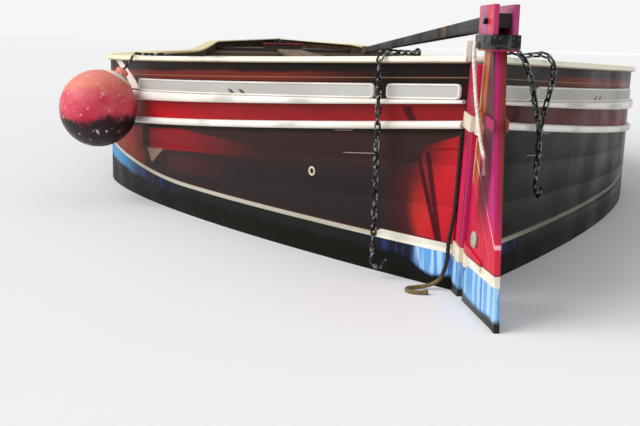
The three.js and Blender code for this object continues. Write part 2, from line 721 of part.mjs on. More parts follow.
// A strap bent round a timber's edge, as a plan outline: nose ahead, arms along both faces
function strapOutline(nose, noseHalf, start, reach, halfAt, wall) {
  const outer = [[nose, noseHalf], [start, noseHalf + 2], [reach, halfAt(reach) + wall]];
  const inner = [[reach, halfAt(reach) + SEAT], [start, halfAt(start) + SEAT]];
  const port = [...outer, ...inner];
  return [...port, ...port.map(([x, y]) => [x, -y]).reverse()];
}

function gudgeonsAndPintles() {
  const { heights, high, ring, bore, reach, wall } = GUDGEON;
  const face = AXIS_GAP * Math.cos(RAKE);
  const postHalf = (x) => {
    const share = (x - face) / (POST.exposed * Math.cos(RAKE));
    return POST.outerHalf + (RABBET_HALF - POST.outerHalf) * Math.min(1, share);
  };
  const cheekEnd = Math.min(reach, face + POST.exposed - 6);
  for (const name of Object.keys(heights)) {
    const z = axisHeight(name);
    const low = z - high / 2;
    const top = z + high / 2;
    const plate = face - SEAT;
    const cheeks = strapOutline(plate - 5, POST.outerHalf + wall, plate, cheekEnd, postHalf, wall);
    const gudgeon = cut(
      union(
        raised(cheeks, low, top),
        upright(ring, low, top),
        box([ring / 2, -12, low], [plate - PAST, 12, top]),
      ),
      upright(bore, low - PAST, top + PAST),
    );
    add(`gudgeon_${name}`, gudgeon, 'iron', rudderFrame);

    const start = STOCK_FRONT + SEAT;
    const strapLow = top + PINTLE.shoulder;
    const strap = strapOutline(PINTLE.nose, PINTLE.noseHalf, start, PINTLE.reach, stockHalf, wall);
    const pintle = union(
      raised(strap, strapLow, strapLow + PINTLE.head),
      upright(PINTLE.radius, low - 4, strapLow + PAST),
    );
    add(`pintle_${name}`, pintle, 'iron', rudderFrame);
  }
}

function heelShoe() {
  const end = -(APEX + POST.exposed) + RAKE_SLOPE * (DRAUGHT - BOTTOM_THICKNESS) - SEAT;
  const bar = box(
    [end - HEEL_SHOE.length, -POST.outerHalf, HEEL_SHOE.low], [end, POST.outerHalf, BOTTOM_THICKNESS],
  );
  const hole = upright(GUDGEON.bore, -470, -370).rotateY(-RAKE).translate(rudderFrame.position.x, 0, DRAUGHT);
  add('heel_shoe', cut(bar, hole), 'iron');
}

function rudderHead() {
  const { aft, fore, half, low, high, slotHalf, slotFloor } = HEAD;
  const pin = acrossRod(TILLER_PIN.radius + SEAT, half + 5).translate(TILLER.x, 0, TILLER.z);
  const chockTop = TILLER.z - TILLER.half - TILLER.drop * (fore - TILLER.x) - 1;
  const block = cut(
    box([aft, -half, low], [fore, half, high]),
    box([aft - PAST, -slotHalf, slotFloor], [fore - 22, slotHalf, high + PAST]),
    box([fore - 22 - PAST, -slotHalf, chockTop], [fore + PAST, slotHalf, high + PAST]),
    pin,
  );
  add('rudder_head', block, 'post');

  const { low: collarLow, high: collarHigh, wall } = COLLAR;
  const collar = cut(
    box([aft - wall, -half - wall, collarLow], [fore + wall, half + wall, collarHigh]),
    box([aft - SEAT, -half - SEAT, collarLow - PAST], [fore + SEAT, half + SEAT, collarHigh + PAST]),
  );
  add('rudder_collar', collar, 'iron');
  add('tiller_pin', acrossRod(TILLER_PIN.radius, half + 8).translate(TILLER.x, 0, TILLER.z), 'iron');
}

function tiller() {
  const { x, z, tip, drop, half, tipHalf, stub, shoulder, knob } = TILLER;
  const length = tip - x;
  const profile = [
    [-stub, half], [shoulder, half], [length - 60, tipHalf], [length - 30, tipHalf + knob],
    [length - 8, tipHalf + knob], [length, tipHalf - 2],
  ];
  const rings = profile.map(([along, size]) => [
    new THREE.Vector3(along, -size, -size), new THREE.Vector3(along, size, -size),
    new THREE.Vector3(along, size, size), new THREE.Vector3(along, -size, size),
  ]);
  const bar = cut(sweep(rings), acrossRod(TILLER_PIN.bore, half + 5));
  const mesh = add('tiller', bar, 'darkWood');
  mesh.position.set(x, 0, z);
  mesh.rotation.y = Math.atan(drop);
}

// Loose gear

// The plan frame of the port planking at a distance from the stern's apex
function besideHull(distance, z) {
  const at = sidePoint({ end: ENDS.stern, distance }, z);
  const along = sidePoint({ end: ENDS.stern, distance: distance + 1 }, z).sub(at).normalize();
  return { at, out: new THREE.Vector2(-along.y, along.x) };
}

const FENDER_FRAME = besideHull(FENDER.distance, FENDER.z);
const FENDER_OUT = STRAKE_PROUD + FENDER.radius + FENDER.clear;

// A point beside the fender's station, from its distance outside the planking and its height
function outFromHull(distance, z) {
  const { at, out } = FENDER_FRAME;
  return [at.x + out.x * distance, at.y + out.y * distance, z];
}

// A ball fender that leans on the strakes, with its neck pointing at the rail
function fender() {
  const { radius, neck, neckBase, neckTip } = FENDER;
  const profile = [[0, -radius]];
  for (let k = 1; k < FENDER.rows; k += 1) {
    const angle = -Math.PI / 2 + (Math.PI * k) / FENDER.rows;
    profile.push([radius * Math.cos(angle), radius * Math.sin(angle)]);
  }
  profile.push([neckBase, radius - 2], [neckTip, radius + neck - 4], [0, radius + neck]);
  const ball = lathed(profile, FENDER.sides)
    .rotateX(THREE.MathUtils.degToRad(FENDER.tilt))
    .rotateZ(Math.atan2(-FENDER_FRAME.out.x, FENDER_FRAME.out.y))
    .translate(...outFromHull(FENDER_OUT, FENDER.z));
  add('ball_fender', ball, 'fender');
}

function lanyard() {
  const rail = lineHeight('railTop', { end: ENDS.stern, distance: FENDER.distance });
  const tilt = THREE.MathUtils.degToRad(FENDER.tilt);
  const onAxis = (height) => outFromHull(
    FENDER_OUT - height * Math.sin(tilt), FENDER.z + height * Math.cos(tilt),
  );
  const top = FENDER.radius + FENDER.neck + CORD_GAP;
  const lying = rail + LANYARD.radius + CORD_GAP;
  const route = [
    onAxis(top), onAxis(top + 11), outFromHull(38, rail - 22), outFromHull(26, rail - 4),
    outFromHull(15, rail + 7), outFromHull(-2, lying + 0.3), outFromHull(-45, lying), outFromHull(-85, lying),
  ];
  add('fender_lanyard', tube(route, LANYARD.radius, LANYARD.steps), 'rope');
}

function portChain() {
  const station = { end: ENDS.stern, distance: CHAIN.distance };
  const rail = lineHeight('railTop', station);
  const at = sidePoint(station, DRAUGHT + LINES.railTop.post);
  const outside = at.y + CHAIN.out;
  const over = rail + CHAIN.radius + CORD_GAP;
  const foot = DRAUGHT + CHAIN.hookDrop;
  const route = [
    [at.x + 40, at.y - 56, over], [at.x + 14, at.y - 14, over + 1], [at.x, outside - 7, over],
    [at.x - 1, outside, over - 26], [at.x - 1, outside, over - 120],
    [at.x - 1, outside, foot + 160], [at.x - 1, outside, foot + 40],
    [at.x - 4, outside + 3, foot + 8], [at.x - 6, outside - 14, foot - 10], [at.x - 8, outside - 32, foot + 12],
  ];
  add('chain_port', tube(route, CHAIN.radius, CHAIN.steps), 'iron');
}

function starboardBridle() {
  const middle = sidePoint({ end: ENDS.stern, distance: BRIDLE.distance }, DRAUGHT + BRIDLE.join);
  const y = -(middle.y + 42);
  const meeting = [middle.x, y, DRAUGHT + BRIDLE.join];
  const legs = BRIDLE.legs.map((distance) => {
    const station = { end: ENDS.stern, distance };
    const rail = lineHeight('railTop', station);
    const at = sidePoint(station, rail);
    const over = rail + BRIDLE.radius + 2.6;
    const route = [
      [at.x + 22, -(at.y - 20), over], [at.x + 2, -(at.y + 19), over + 2],
      [at.x - 7, -(at.y + 37), over - 20], meeting,
    ];
    return tube(route, BRIDLE.radius, BRIDLE.legSteps);
  });
  const swivel = DRAUGHT + BRIDLE.swivel;
  const hook = DRAUGHT + BRIDLE.hook;
  const drop = tube([
    [middle.x, y, meeting[2] + 4], [middle.x, y, swivel], [middle.x + 6, y, swivel - 40],
    [middle.x, y, hook + 12], [middle.x - 26, y, hook - 4], [middle.x - 44, y, hook + 26],
  ], BRIDLE.radius, BRIDLE.dropSteps);
  add('chain_starboard', union(legs[0], legs[1], drop), 'iron');
}

// A rope down the corner between the planking and the sternpost, with its end afloat in a bight
function sternRope() {
  const corner = (z) => -(APEX + 6) - RAKE_SLOPE * (z - DRAUGHT);
  const afloat = DRAUGHT + STERN_ROPE.radius + CORD_GAP;
  const route = [
    [corner(822), 30.3, 822], [corner(780), 30.3, 780], [corner(700), 30.3, 700], [corner(640), 31, 640],
    [corner(604), 34, 604], [corner(574), 38, 574], [corner(530), 38.5, 530], [corner(500) + 3, 42, 500],
    [corner(475) + 7, 52, 475], [-6647, 74, 460], [-6645, 100, afloat], [-6655, 124, afloat],
    [-6676, 129, afloat], [-6690, 110, afloat], [-6692, 84, afloat],
  ];
  add('stern_rope', tube(route, STERN_ROPE.radius, STERN_ROPE.steps), 'darkRope');
}

// A rope's end that hangs from the rudder head and lies over the upper strap
function rudderRope() {
  const y = HEAD.half + COLLAR.wall + RUDDER_ROPE.radius + CORD_GAP;
  const route = [
    [-6802, y, COLLAR.low + 14], [-6805, y + 1, 984], [-6810, y - 2, 940], [-6820, 30.5, 900],
    [-6838, 28.5, 860], [-6862, 27, 820], [-6885, 24, 785], [-6890, 23, 755],
  ];
  add('rudder_rope', tube(route, RUDDER_ROPE.radius, RUDDER_ROPE.steps), 'rope');
}

function bowFender() {
  const { radius, height, z, clear, rows, sides: around } = BOW_FENDER;
  const profile = [[0, -height / 2]];
  for (let k = 1; k < rows; k += 1) {
    const angle = -Math.PI / 2 + (Math.PI * k) / rows;
    profile.push([radius * Math.cos(angle) ** 0.7, (height / 2) * Math.sin(angle)]);
  }
  profile.push([0, height / 2]);
  const top = z + height / 2;
  const front = APEX + POST.exposed + RAKE_SLOPE * (top - DRAUGHT);
  const x = front + radius + clear;
  add('bow_fender', lathed(profile, around).translate(x, 0, z), 'rope');
  const ringTop = DRAUGHT + LINES.railBottom.post + 3;
  const sling = tube([
    [front - 30, 0, ringTop + 8], [front + 10, 0, ringTop + 7], [x - 40, 0, top + 60],
    [x - 3, 0, top + 30], [x, 0, top + 12], [x, 0, top + SEAT],
  ], BOW_FENDER.sling, BOW_FENDER.slingSteps);
  add('bow_fender_sling', sling, 'iron');
}

bottom();
sides();
gunwales();
strakes();
panels();
posts();
keelson();
frames();
beams();
floorboards();
decks();
bulkheads();
doors();
foreHatch();
mooringPosts();
rudderBlade();
gudgeonsAndPintles();
heelShoe();
rudderHead();
tiller();
fender();
lanyard();
portChain();
starboardBridle();
sternRope();
rudderRope();
bowFender();

export default model;
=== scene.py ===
"""Looks of an open wooden narrowboat, built around its frame of plain solids.

Metres. +X points to the bow, +Y to port and +Z up. The waterline is at WATER.
"""

import contextlib
import math

import bmesh
import bpy
from mathutils import Matrix, Vector


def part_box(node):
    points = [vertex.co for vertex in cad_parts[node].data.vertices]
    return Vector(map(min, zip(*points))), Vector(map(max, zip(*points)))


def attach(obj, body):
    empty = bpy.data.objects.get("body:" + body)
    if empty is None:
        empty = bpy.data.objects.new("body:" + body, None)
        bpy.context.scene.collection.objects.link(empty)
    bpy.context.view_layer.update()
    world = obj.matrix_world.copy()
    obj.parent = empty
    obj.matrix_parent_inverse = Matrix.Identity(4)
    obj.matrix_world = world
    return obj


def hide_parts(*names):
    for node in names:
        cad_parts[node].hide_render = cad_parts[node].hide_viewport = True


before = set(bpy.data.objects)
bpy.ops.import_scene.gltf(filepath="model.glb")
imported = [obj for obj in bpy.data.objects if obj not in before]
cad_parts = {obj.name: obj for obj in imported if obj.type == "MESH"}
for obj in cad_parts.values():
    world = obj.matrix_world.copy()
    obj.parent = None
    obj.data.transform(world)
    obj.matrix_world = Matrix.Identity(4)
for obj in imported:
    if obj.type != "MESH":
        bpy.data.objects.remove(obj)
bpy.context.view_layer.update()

# The hull's form, as the frame has it
WATER = 0.45
APEX = 6.65
HALF_BEAM = 1.0415
CHINE_HALF_BEAM = 1.01
BOTTOM = 0.06
PLANK = 0.048
RABBET_HALF = 0.025
CENTRE_GAP = 0.008
ENTRY_POWER = 1.45
SWIM_POWER = 1.6
RAKE_SLOPE = math.tan(math.radians(8))
SHEER = 0.05
SEAT = 0.0003
STERN = {"sign": -1, "run": 1.686, "swim": 3.3}
BOW = {"sign": 1, "run": 1.95, "swim": 3.6}
RUDDER_AXIS_X = -(APEX + 0.055 + 0.024)

# Lines along the side: heights above the waterline, at the posts and at the shoulders
LINES = {
    "lower_strake_bottom": (0.380, 0.240),
    "lower_strake_top": (0.398, 0.263),
    "upper_strake_bottom": (0.435, 0.324),
    "panel_bottom": (0.443, 0.360),
    "panel_top": (0.478, 0.404),
    "rail_bottom": (0.522, 0.465),
    "rail_top": (0.538, 0.483),
}


# Camera

CAMERA_PLACE = Vector((-8.640, 0.493, 1.019))
CAMERA_YAW = math.radians(-4.64)
CAMERA_PITCH = math.radians(11.05)
CAMERA_ROLL = math.radians(1.40)
CAMERA_LENS = 50.625


def in_scene(name, data):
    """A new object in the scene that shows some data."""
    made = bpy.data.objects.new(name, data)
    bpy.context.scene.collection.objects.link(made)
    return made


def make_camera():
    data = bpy.data.cameras.new("camera")
    data.lens = CAMERA_LENS
    data.clip_start = 0.05
    data.clip_end = 200
    camera = in_scene("camera", data)
    level = Vector((math.cos(CAMERA_YAW), math.sin(CAMERA_YAW), 0))
    forward = level * math.cos(CAMERA_PITCH) - Vector((0, 0, math.sin(CAMERA_PITCH)))
    right = Vector((level.y, -level.x, 0))
    up = right.cross(forward)
    rolled_right = right * math.cos(CAMERA_ROLL) + up * math.sin(CAMERA_ROLL)
    rolled_up = up * math.cos(CAMERA_ROLL) - right * math.sin(CAMERA_ROLL)
    turn = Matrix((rolled_right, rolled_up, -forward)).transposed()
    camera.matrix_world = Matrix.Translation(CAMERA_PLACE) @ turn.to_4x4()
    bpy.context.scene.camera = camera


make_camera()


# Node materials. Their numbers are places and widths in metres, shares from 0 to 1, and noise
# scales per metre.

SOFT = 0.0008  # half the width of a sharp edge in the paint


def rgb(code):
    """The linear colour of a web colour code."""
    channels = [int(code[k:k + 2], 16) / 255 for k in (1, 3, 5)]
    return tuple(c / 12.92 if c <= 0.04045 else ((c + 0.055) / 1.055) ** 2.4 for c in channels) + (1.0,)


def feed(node, inputs):
    """Sets a node's inputs to numbers and colours, or links them to signals."""
    for key, value in inputs.items():
        if isinstance(value, Signal):
            node.id_data.links.new(value.socket, node.inputs[key])
        else:
            node.inputs[key].default_value = value


def signal(tree, kind, inputs, output=0, **settings):
    """The output of a new node."""
    node = tree.nodes.new(kind)
    for key, value in settings.items():
        setattr(node, key, value)
    feed(node, inputs)
    return Signal(node.outputs[output])


def sum_of(operation, swapped=False):
    """A method that works out a sum of a signal and a number, or of two signals."""
    def work_out(self, other):
        first, second = (other, self) if swapped else (self, other)
        return signal(self.socket.id_data, "ShaderNodeMath", {0: first, 1: second}, operation=operation)

    return work_out


class Signal:
    """A number or a colour that changes over a surface. It stands in sums like a number."""

    def __init__(self, socket):
        self.socket = socket

    __add__ = sum_of("ADD")
    __radd__ = sum_of("ADD", swapped=True)
    __sub__ = sum_of("SUBTRACT")
    __rsub__ = sum_of("SUBTRACT", swapped=True)
    __mul__ = sum_of("MULTIPLY")
    __pow__ = sum_of("POWER")
    most = sum_of("MAXIMUM")

    def __abs__(self):
        return signal(self.socket.id_data, "ShaderNodeMath", {0: self}, operation="ABSOLUTE")

    def rise(self, low, high, start=0.0, end=1.0):
        """Goes smoothly from start to end as the number goes from low to high."""
        ends = {"Value": self, "From Min": low, "From Max": high, "To Min": start, "To Max": end}
        return signal(
            self.socket.id_data, "ShaderNodeMapRange", ends, "Result",
            interpolation_type="SMOOTHSTEP", clamp=True,
        )

    def fall(self, low, high):
        """Goes smoothly from one to zero as the number goes from low to high."""
        return self.rise(low, high, 1.0, 0.0)

    def step(self, soft=SOFT):
        """A sharp step from zero to one where the number passes zero."""
        return self.rise(-soft, soft)

    def within(self, low, high, soft):
        """One between two limits, fading over a soft edge."""
        return self.rise(low - soft, low + soft) * self.fall(high - soft, high + soft)

    def mix(self, first, second):
        """Goes from one colour to another as the number goes from zero to one."""
        return signal(
            self.socket.id_data, "ShaderNodeMix", {0: self, 6: first, 7: second}, 2, data_type="RGBA",
        )


def over(color, share, tone, strength=1.0):
    """A colour with a tone laid over it by a share."""
    return (share * strength).mix(color, rgb(tone))


class Finish:
    """A node material under construction."""

    def __init__(self, name):
        self.material = bpy.data.materials.new(name)
        self.material.use_nodes = True
        self.tree = self.material.node_tree
        self.shader = self.tree.nodes["Principled BSDF"]
        self.place = signal(self.tree, "ShaderNodeTexCoord", {}, "Object")

    def noise(self, scale, stretch=(1, 1, 1), detail=4.0, roughness=0.55, distortion=0.0, shift=0.0):
        """Clouds of numbers round a half, drawn out along an axis where stretch is low."""
        place = signal(self.tree, "ShaderNodeMapping", {
            "Vector": self.place, "Scale": stretch, "Location": (shift, shift, shift),
        })
        return signal(self.tree, "ShaderNodeTexNoise", {
            "Vector": place, "Scale": scale, "Detail": detail, "Roughness": roughness,
            "Distortion": distortion,
        }, "Fac")

    def tones(self, scale, first, second, **shape):
        """Two tones in cloudy patches."""
        return self.noise(scale, **shape).rise(0.3, 0.7).mix(rgb(first), rgb(second))

    def ragged(self, scale, reach, **shape):
        """An uneven shift of up to half a reach either way."""
        return (self.noise(scale, **shape) - 0.5) * reach

    def along(self, axis):
        """The place along one axis."""
        return signal(self.tree, "ShaderNodeSeparateXYZ", {0: self.place}, axis)

    def over_water(self):
        """The height over the waterline."""
        return self.along("Z") - WATER

    def value(self, name):
        """A number stored at the mesh's points."""
        return signal(self.tree, "ShaderNodeAttribute", {}, "Fac", attribute_name=name)

    def bump(self, height, strength, distance):
        bumped = signal(self.tree, "ShaderNodeBump", {
            "Strength": strength, "Distance": distance, "Height": height,
        })
        feed(self.shader, {"Normal": bumped})

    def done(self, color, roughness, metallic=0.0, shine=0.5):
        feed(self.shader, {
            "Base Color": color, "Roughness": roughness, "Metallic": metallic, "Specular IOR Level": shine,
        })
        return self.material


WOOD_ALONG_X = (0.06, 1, 1)
WOOD_UPRIGHT = (1, 1, 0.06)
WOOD_ACROSS = (1, 0.06, 1)
PAINT_SHINE = 0.08  # low, so that a side seen along its length keeps its colour


def weather(finish, color, dirt, amount=0.5, grain=WOOD_ALONG_X):
    """Uneven paint with washed-down dirt and fine scratches."""
    runs = finish.noise(9, stretch=(1, 1, 0.12), detail=5, shift=3.1)
    color = over(color, runs.rise(0.5, 0.8), dirt, 0.4 * amount)
    specks = finish.noise(60, detail=6, roughness=0.7, shift=7.7)
    color = over(color, specks.rise(0.66, 0.72), dirt, amount)
    scratches = finish.noise(38, stretch=grain, detail=3, shift=1.3)
    return over(color, scratches.rise(0.68, 0.74), dirt, 0.6 * amount)


def painted_bump(finish, grain=WOOD_ALONG_X, strength=0.25):
    fibres = finish.noise(70, stretch=grain, detail=4, roughness=0.6, shift=5.0)
    finish.bump(fibres * 0.5 + finish.noise(7, detail=3, shift=9.0), strength, 0.004)


def gloss(finish, low=0.3, high=0.55):
    """Roughness that changes in patches."""
    return finish.noise(5, detail=5, shift=2.0).rise(0.35, 0.7, low, high)


def plain_paint(name, light, dark, dirt, amount=0.5, grain=WOOD_ALONG_X):
    finish = Finish(name)
    tone = weather(finish, finish.tones(3.0, light, dark, detail=4), dirt, amount, grain)
    painted_bump(finish, grain)
    return finish.done(tone, gloss(finish, 0.35, 0.6), shine=PAINT_SHINE)


# The boot stripe's height over the waterline, its widths, and how much higher it runs amidships
BOOT = {"low": 0.088, "thick": 0.023, "thin": 0.012, "lift": 0.065}


def underwater(finish, color, height, along=None, low=BOOT["low"]):
    """The white stripe with a painted shadow line over it, the blue strokes under it with painted shade on
    the sides, and the dark foot. along is given on the sides.
    """
    strokes = finish.noise(40, stretch=(1, 1, 0.05), detail=3, shift=4.0)
    pale = finish.noise(52, stretch=(1, 1, 0.04), detail=2, shift=8.0)
    blue = strokes.rise(0.36, 0.50).mix(rgb("#2c5296"), rgb("#66a3de"))
    blue = over(blue, pale.rise(0.47, 0.58), "#aed6f5", 0.85)
    foot_top = 0.022
    thickness = BOOT["thick"]
    stripe = finish.tones(18, "#f6f1e4", "#d8d4bf", stretch=(0.5, 0.5, 1), detail=5)
    if along is not None:
        starboard = (0.0 - finish.along("Y")).step()
        thin = along.rise(0.165, 0.185).most(starboard)
        thickness = thin * (BOOT["thin"] - BOOT["thick"]) + BOOT["thick"]
        stripe = over(stripe, thin, "#adab98", 0.8)
        # Painted shade: the stripe darkens on the starboard side, from the stern forward.
        stripe = over(stripe, starboard * along.rise(0.0, 0.3), "#55554e", 0.7)
        # Painted shade and reflection: the blue turns navy beyond the lit quarter at the stern, and near
        # black along the middle of the side.
        navy = along.rise(0.072, 0.098)
        blue = over(blue, navy, "#2b3160")
        blue = over(blue, navy * strokes.rise(0.42, 0.52), "#1a1c20", 0.85)
        blue = over(blue, along.rise(0.15, 0.2) * along.fall(0.85, 1.15), "#1d201e")
        blue = over(blue, along.rise(1.15, 1.45), "#3f86b4")
        foot_top = along.rise(0.05, 0.12, 0.028, 0.058) + along.rise(0.85, 1.75, 0.0, 0.042)
    foot = (height + finish.ragged(14, 0.03, detail=5, shift=6.0) - foot_top).fall(-0.007, 0.007)
    blue = over(blue, foot, "#171813")
    color = (low - height).step().mix(color, blue)
    top = low + thickness
    # A painted shadow: a thin dark red line just over the stripe's top.
    color = over(color, (height - top).within(0.0, 0.0035, SOFT), "#5c1a24", 0.8)
    return ((height - low).step() * (top - height).step()).mix(color, stripe)


def shaded_side(finish, along, under):
    """The side below the strakes: dark brown, painted shade and reflection over the hull's red, with a
    painted red reflection, purple, brown, tan and dark patches along it, and painted shade under the strake.
    """
    under = under + finish.ragged(5, 0.012, detail=3, shift=15.0)
    # This dark field is painted shade and reflection; the hull's own paint under it is red.
    color = under.rise(0.14, 0.03).mix(rgb("#2b2525"), rgb("#3c2728"))
    lens_top = 0.012 + (0.92 - along).most(0.0) * 0.112
    purple = along.within(0.72, 1.0, 0.09) * under.within(0.10, 0.155, 0.012)
    color = over(color, purple, "#4b2529", 0.7)
    # A painted reflection: a red lens along the middle of the side.
    lens = along.rise(0.5, 1.0) * (under - lens_top).step(0.004) * under.fall(0.080, 0.087)
    color = over(color, lens, "#8a1f24", 0.95)
    color = over(color, along.rise(1.12, 1.2) * under.rise(0.05, 0.07), "#7e2a17", 0.9)
    color = over(color, along.within(1.12, 1.18, 0.012) * under.within(0.0, 0.09, 0.006), "#26251a", 0.9)
    after_edge = (along - (under * 1.65 + 0.885)).step(0.006)
    fore_edge = (under * -0.71 + 1.197 - along).step(0.006)
    color = over(color, after_edge * fore_edge * (under - 0.082).step(0.003), "#a38a76", 0.8)
    color = over(color, along.rise(1.75, 2.6), "#541a1f", 0.85)
    # Painted shade under the lower strake: dark maroon down to the lens, and dark olive just under the
    # strake.
    color = over(color, (under - lens_top).fall(-0.006, 0.003), "#382626", 0.8)
    return over(color, under.fall(0.006, 0.018), "#242015", 0.85)


def red_quarter(color, along, height, under):
    """The red quarter beside the post: the hull's red painted as lit, fading over a soft painted shade edge,
    with a painted highlight, two painted rope shadows and a dark dash.
    """
    past_edge = along - ((height - 0.21) ** 2.0 * -2.5 + 0.117)
    # Above the quarter's slanted top edge the side stays dark: a painted shade wedge under the strake.
    near = past_edge.fall(-0.026, 0.003) * (under - (along * 0.35 + 0.0137)).step(0.0015)
    # Painted shade: dark red beyond the quarter's soft edge, low on the side.
    color = over(color, past_edge.fall(0.0, 0.07) * under.rise(0.07, 0.13), "#522327", 0.7)
    # The red darkens away from the post: a painted shade falloff.
    depth = along + (height - 0.2) * 0.35
    red = depth.rise(0.042, 0.118).mix(rgb("#be242d"), rgb("#662424"))
    # A painted highlight: a lighter orange red patch on the quarter.
    glow = along.within(0.055, 0.105, 0.02) * height.within(0.11, 0.22, 0.05)
    red = over(red, glow, "#c0402f", 0.3)
    # Two painted rope shadows: dark lines with darker red between them.
    left = height * 0.275 + 0.0055
    right = height * 0.19 + 0.0095
    below = under.rise(0.048, 0.058)
    red = over(red, (along - right).step() * (left - along).step() * below, "#74292d", 0.8)
    for middle, half, strength in ((left, 0.0048, 0.92), (right, 0.0055, 0.88)):
        red = over(red, (along - middle).within(-half, half, 0.0015) * below, "#3d161b", strength)
    dash = (under - (along * 0.06 + 0.0445)).within(-0.0014, 0.0014, 0.0008) * along.fall(0.06, 0.085)
    red = over(red, dash, "#5e1518", 0.85)
    return near.mix(color, red)


def side_belt(finish, along, height, band, port):
    """The red belt between the strakes, darker forward and on its upper half."""
    far = along.rise(0.4, 1.1)
    belt = band.rise(0.004, 0.05).mix(
        far.mix(rgb("#862022"), rgb("#b42127")), far.mix(rgb("#682022"), rgb("#932025")),
    )
    cloud = finish.noise(3, stretch=(0.3, 1, 4), shift=11.0)
    belt = over(belt, cloud.rise(0.45, 0.65), "#a8282b", 0.25)
    # A painted rope shadow: a dark slanted mark across the belt.
    rope_shadow = (along - (height * 0.5 - 0.085)).within(-0.0105, 0.0105, 0.004)
    rope_shadow = rope_shadow * band.within(0.0, 0.034, 0.003)
    belt = over(belt, rope_shadow, "#3a171a", 0.9)
    # Painted shade: the belt is dark maroon on the starboard side.
    return over(belt, 1.0 - port, "#3a1719", 0.75)


def bulwark_paint(finish, along, over_panel):
    """The boards between the panels and the rail, dark partly in their own paint and partly as painted shade
    under the rail, with a gold line.
    """
    bulwark = finish.tones(9, "#1b1a17", "#241a1a", detail=5)
    wave = finish.ragged(6, 0.02, detail=3, shift=18.0)
    lower_half = along.rise(0.16, 0.5) * (over_panel + wave).fall(0.024, 0.034)
    bulwark = over(bulwark, lower_half, "#6e2823", 0.9)
    bulwark = over(bulwark, over_panel.within(0.0122, 0.0145, 0.0005), "#94724c", 0.7)
    return over(bulwark, over_panel.fall(0.0, 0.006), "#171513", 0.8)


def topside_paint():
    """The hull's paint: red at the post, painted as lit, and dark along the side and all over the starboard
    side, painted as shade and reflection, with its bands and lines.
    """
    finish = Finish("topside")
    along, height, under, over_panel, band = (
        finish.value(name) for name in ("along", "height", "under_strake", "over_panel", "band")
    )
    port = finish.along("Y").step()
    # To starboard the field is plain dark, painted deep shade; to port it carries the painted shade and light
    # of the side.
    field = port.mix(rgb("#242223"), red_quarter(shaded_side(finish, along, under), along, height, under))
    # Pale lines along plank seams, painted highlights: where they start and end, and how far below the strake
    # they lie
    for start, end, drop in ((0.189, 0.274, 0.0605), (0.255, 0.300, 0.0040)):
        seam = along.within(start, end, 0.01) * under.within(drop - 0.0007, drop + 0.0007, 0.0004)
        field = over(field, seam, "#c9b6ae", 0.8)
    field = band.step().mix(field, side_belt(finish, along, height, band, port))
    field = over(field, (over_panel + 0.04).step(), "#2a1517")
    field = over_panel.step().mix(field, bulwark_paint(finish, along, over_panel))
    sweep_line = ((over_panel + 0.044) * (1 / 0.105)) ** 1.5 * 0.20 + 1.235
    sweep = (along - sweep_line).within(-0.04, 0.04, 0.008) * (over_panel + 0.037).step()
    field = over(field, sweep, "#ecdcd4", 0.95)
    field = weather(finish, field, "#1d1816", 0.22)
    low = along.rise(0.88, 1.75, BOOT["low"], BOOT["low"] + BOOT["lift"])
    color = underwater(finish, field, height, along, low)
    planks = finish.tones(24, "#2c2119", "#55432f", stretch=WOOD_ALONG_X, detail=5)
    color = finish.value("inner").rise(0.45, 0.55).mix(color, planks)
    painted_bump(finish, strength=0.15)
    return finish.done(color, gloss(finish, 0.32, 0.5), shine=0.04)


def upright_lines(color, at, height, lines):
    """Upright painted lines between two places, each above its own height."""
    for low, high, tone, start, strength in lines:
        line = at.within(low, high, 0.0018) * height.rise(start - 0.02, start + 0.02)
        color = over(color, line, tone, strength)
    return color


def post_finish(finish, color, height, dirt):
    """Weather, boot stripe and gloss of a post or the rudder."""
    color = underwater(finish, weather(finish, color, "#3a1016", dirt, WOOD_UPRIGHT), height)
    painted_bump(finish, WOOD_UPRIGHT)
    return finish.done(color, gloss(finish, 0.28, 0.42), shine=0.3)


def post_paint():
    """Posts: magenta and rose, with dark upright lines of painted shade in the corner by the planking and by
    the rudder's gap.
    """
    finish = Finish("post_paint")
    height = finish.over_water()
    streaks = finish.noise(26, stretch=(1, 1, 0.03), detail=3, shift=2.0)
    color = streaks.rise(0.4, 0.6).mix(rgb("#c4176a"), rgb("#d01e4c"))
    back = abs(finish.along("X")) - APEX - height * RAKE_SLOPE
    # The first two lines are painted shade: in the corner where the post meets the planking, and in the gap
    # between the post and the rudder.
    # Each line's limits beyond the raked apex, its tone, the height it starts at and its strength
    color = upright_lines(color, back, height, (
        (-0.004, 0.006, "#5c1334", -1.0, 0.85), (0.040, 0.052, "#4c1448", -1.0, 0.75),
        (0.014, 0.022, "#e0345f", 0.1, 0.8), (0.008, 0.050, "#93283a", 0.34, 0.8),
    ))
    return post_finish(finish, color, height, 0.3)


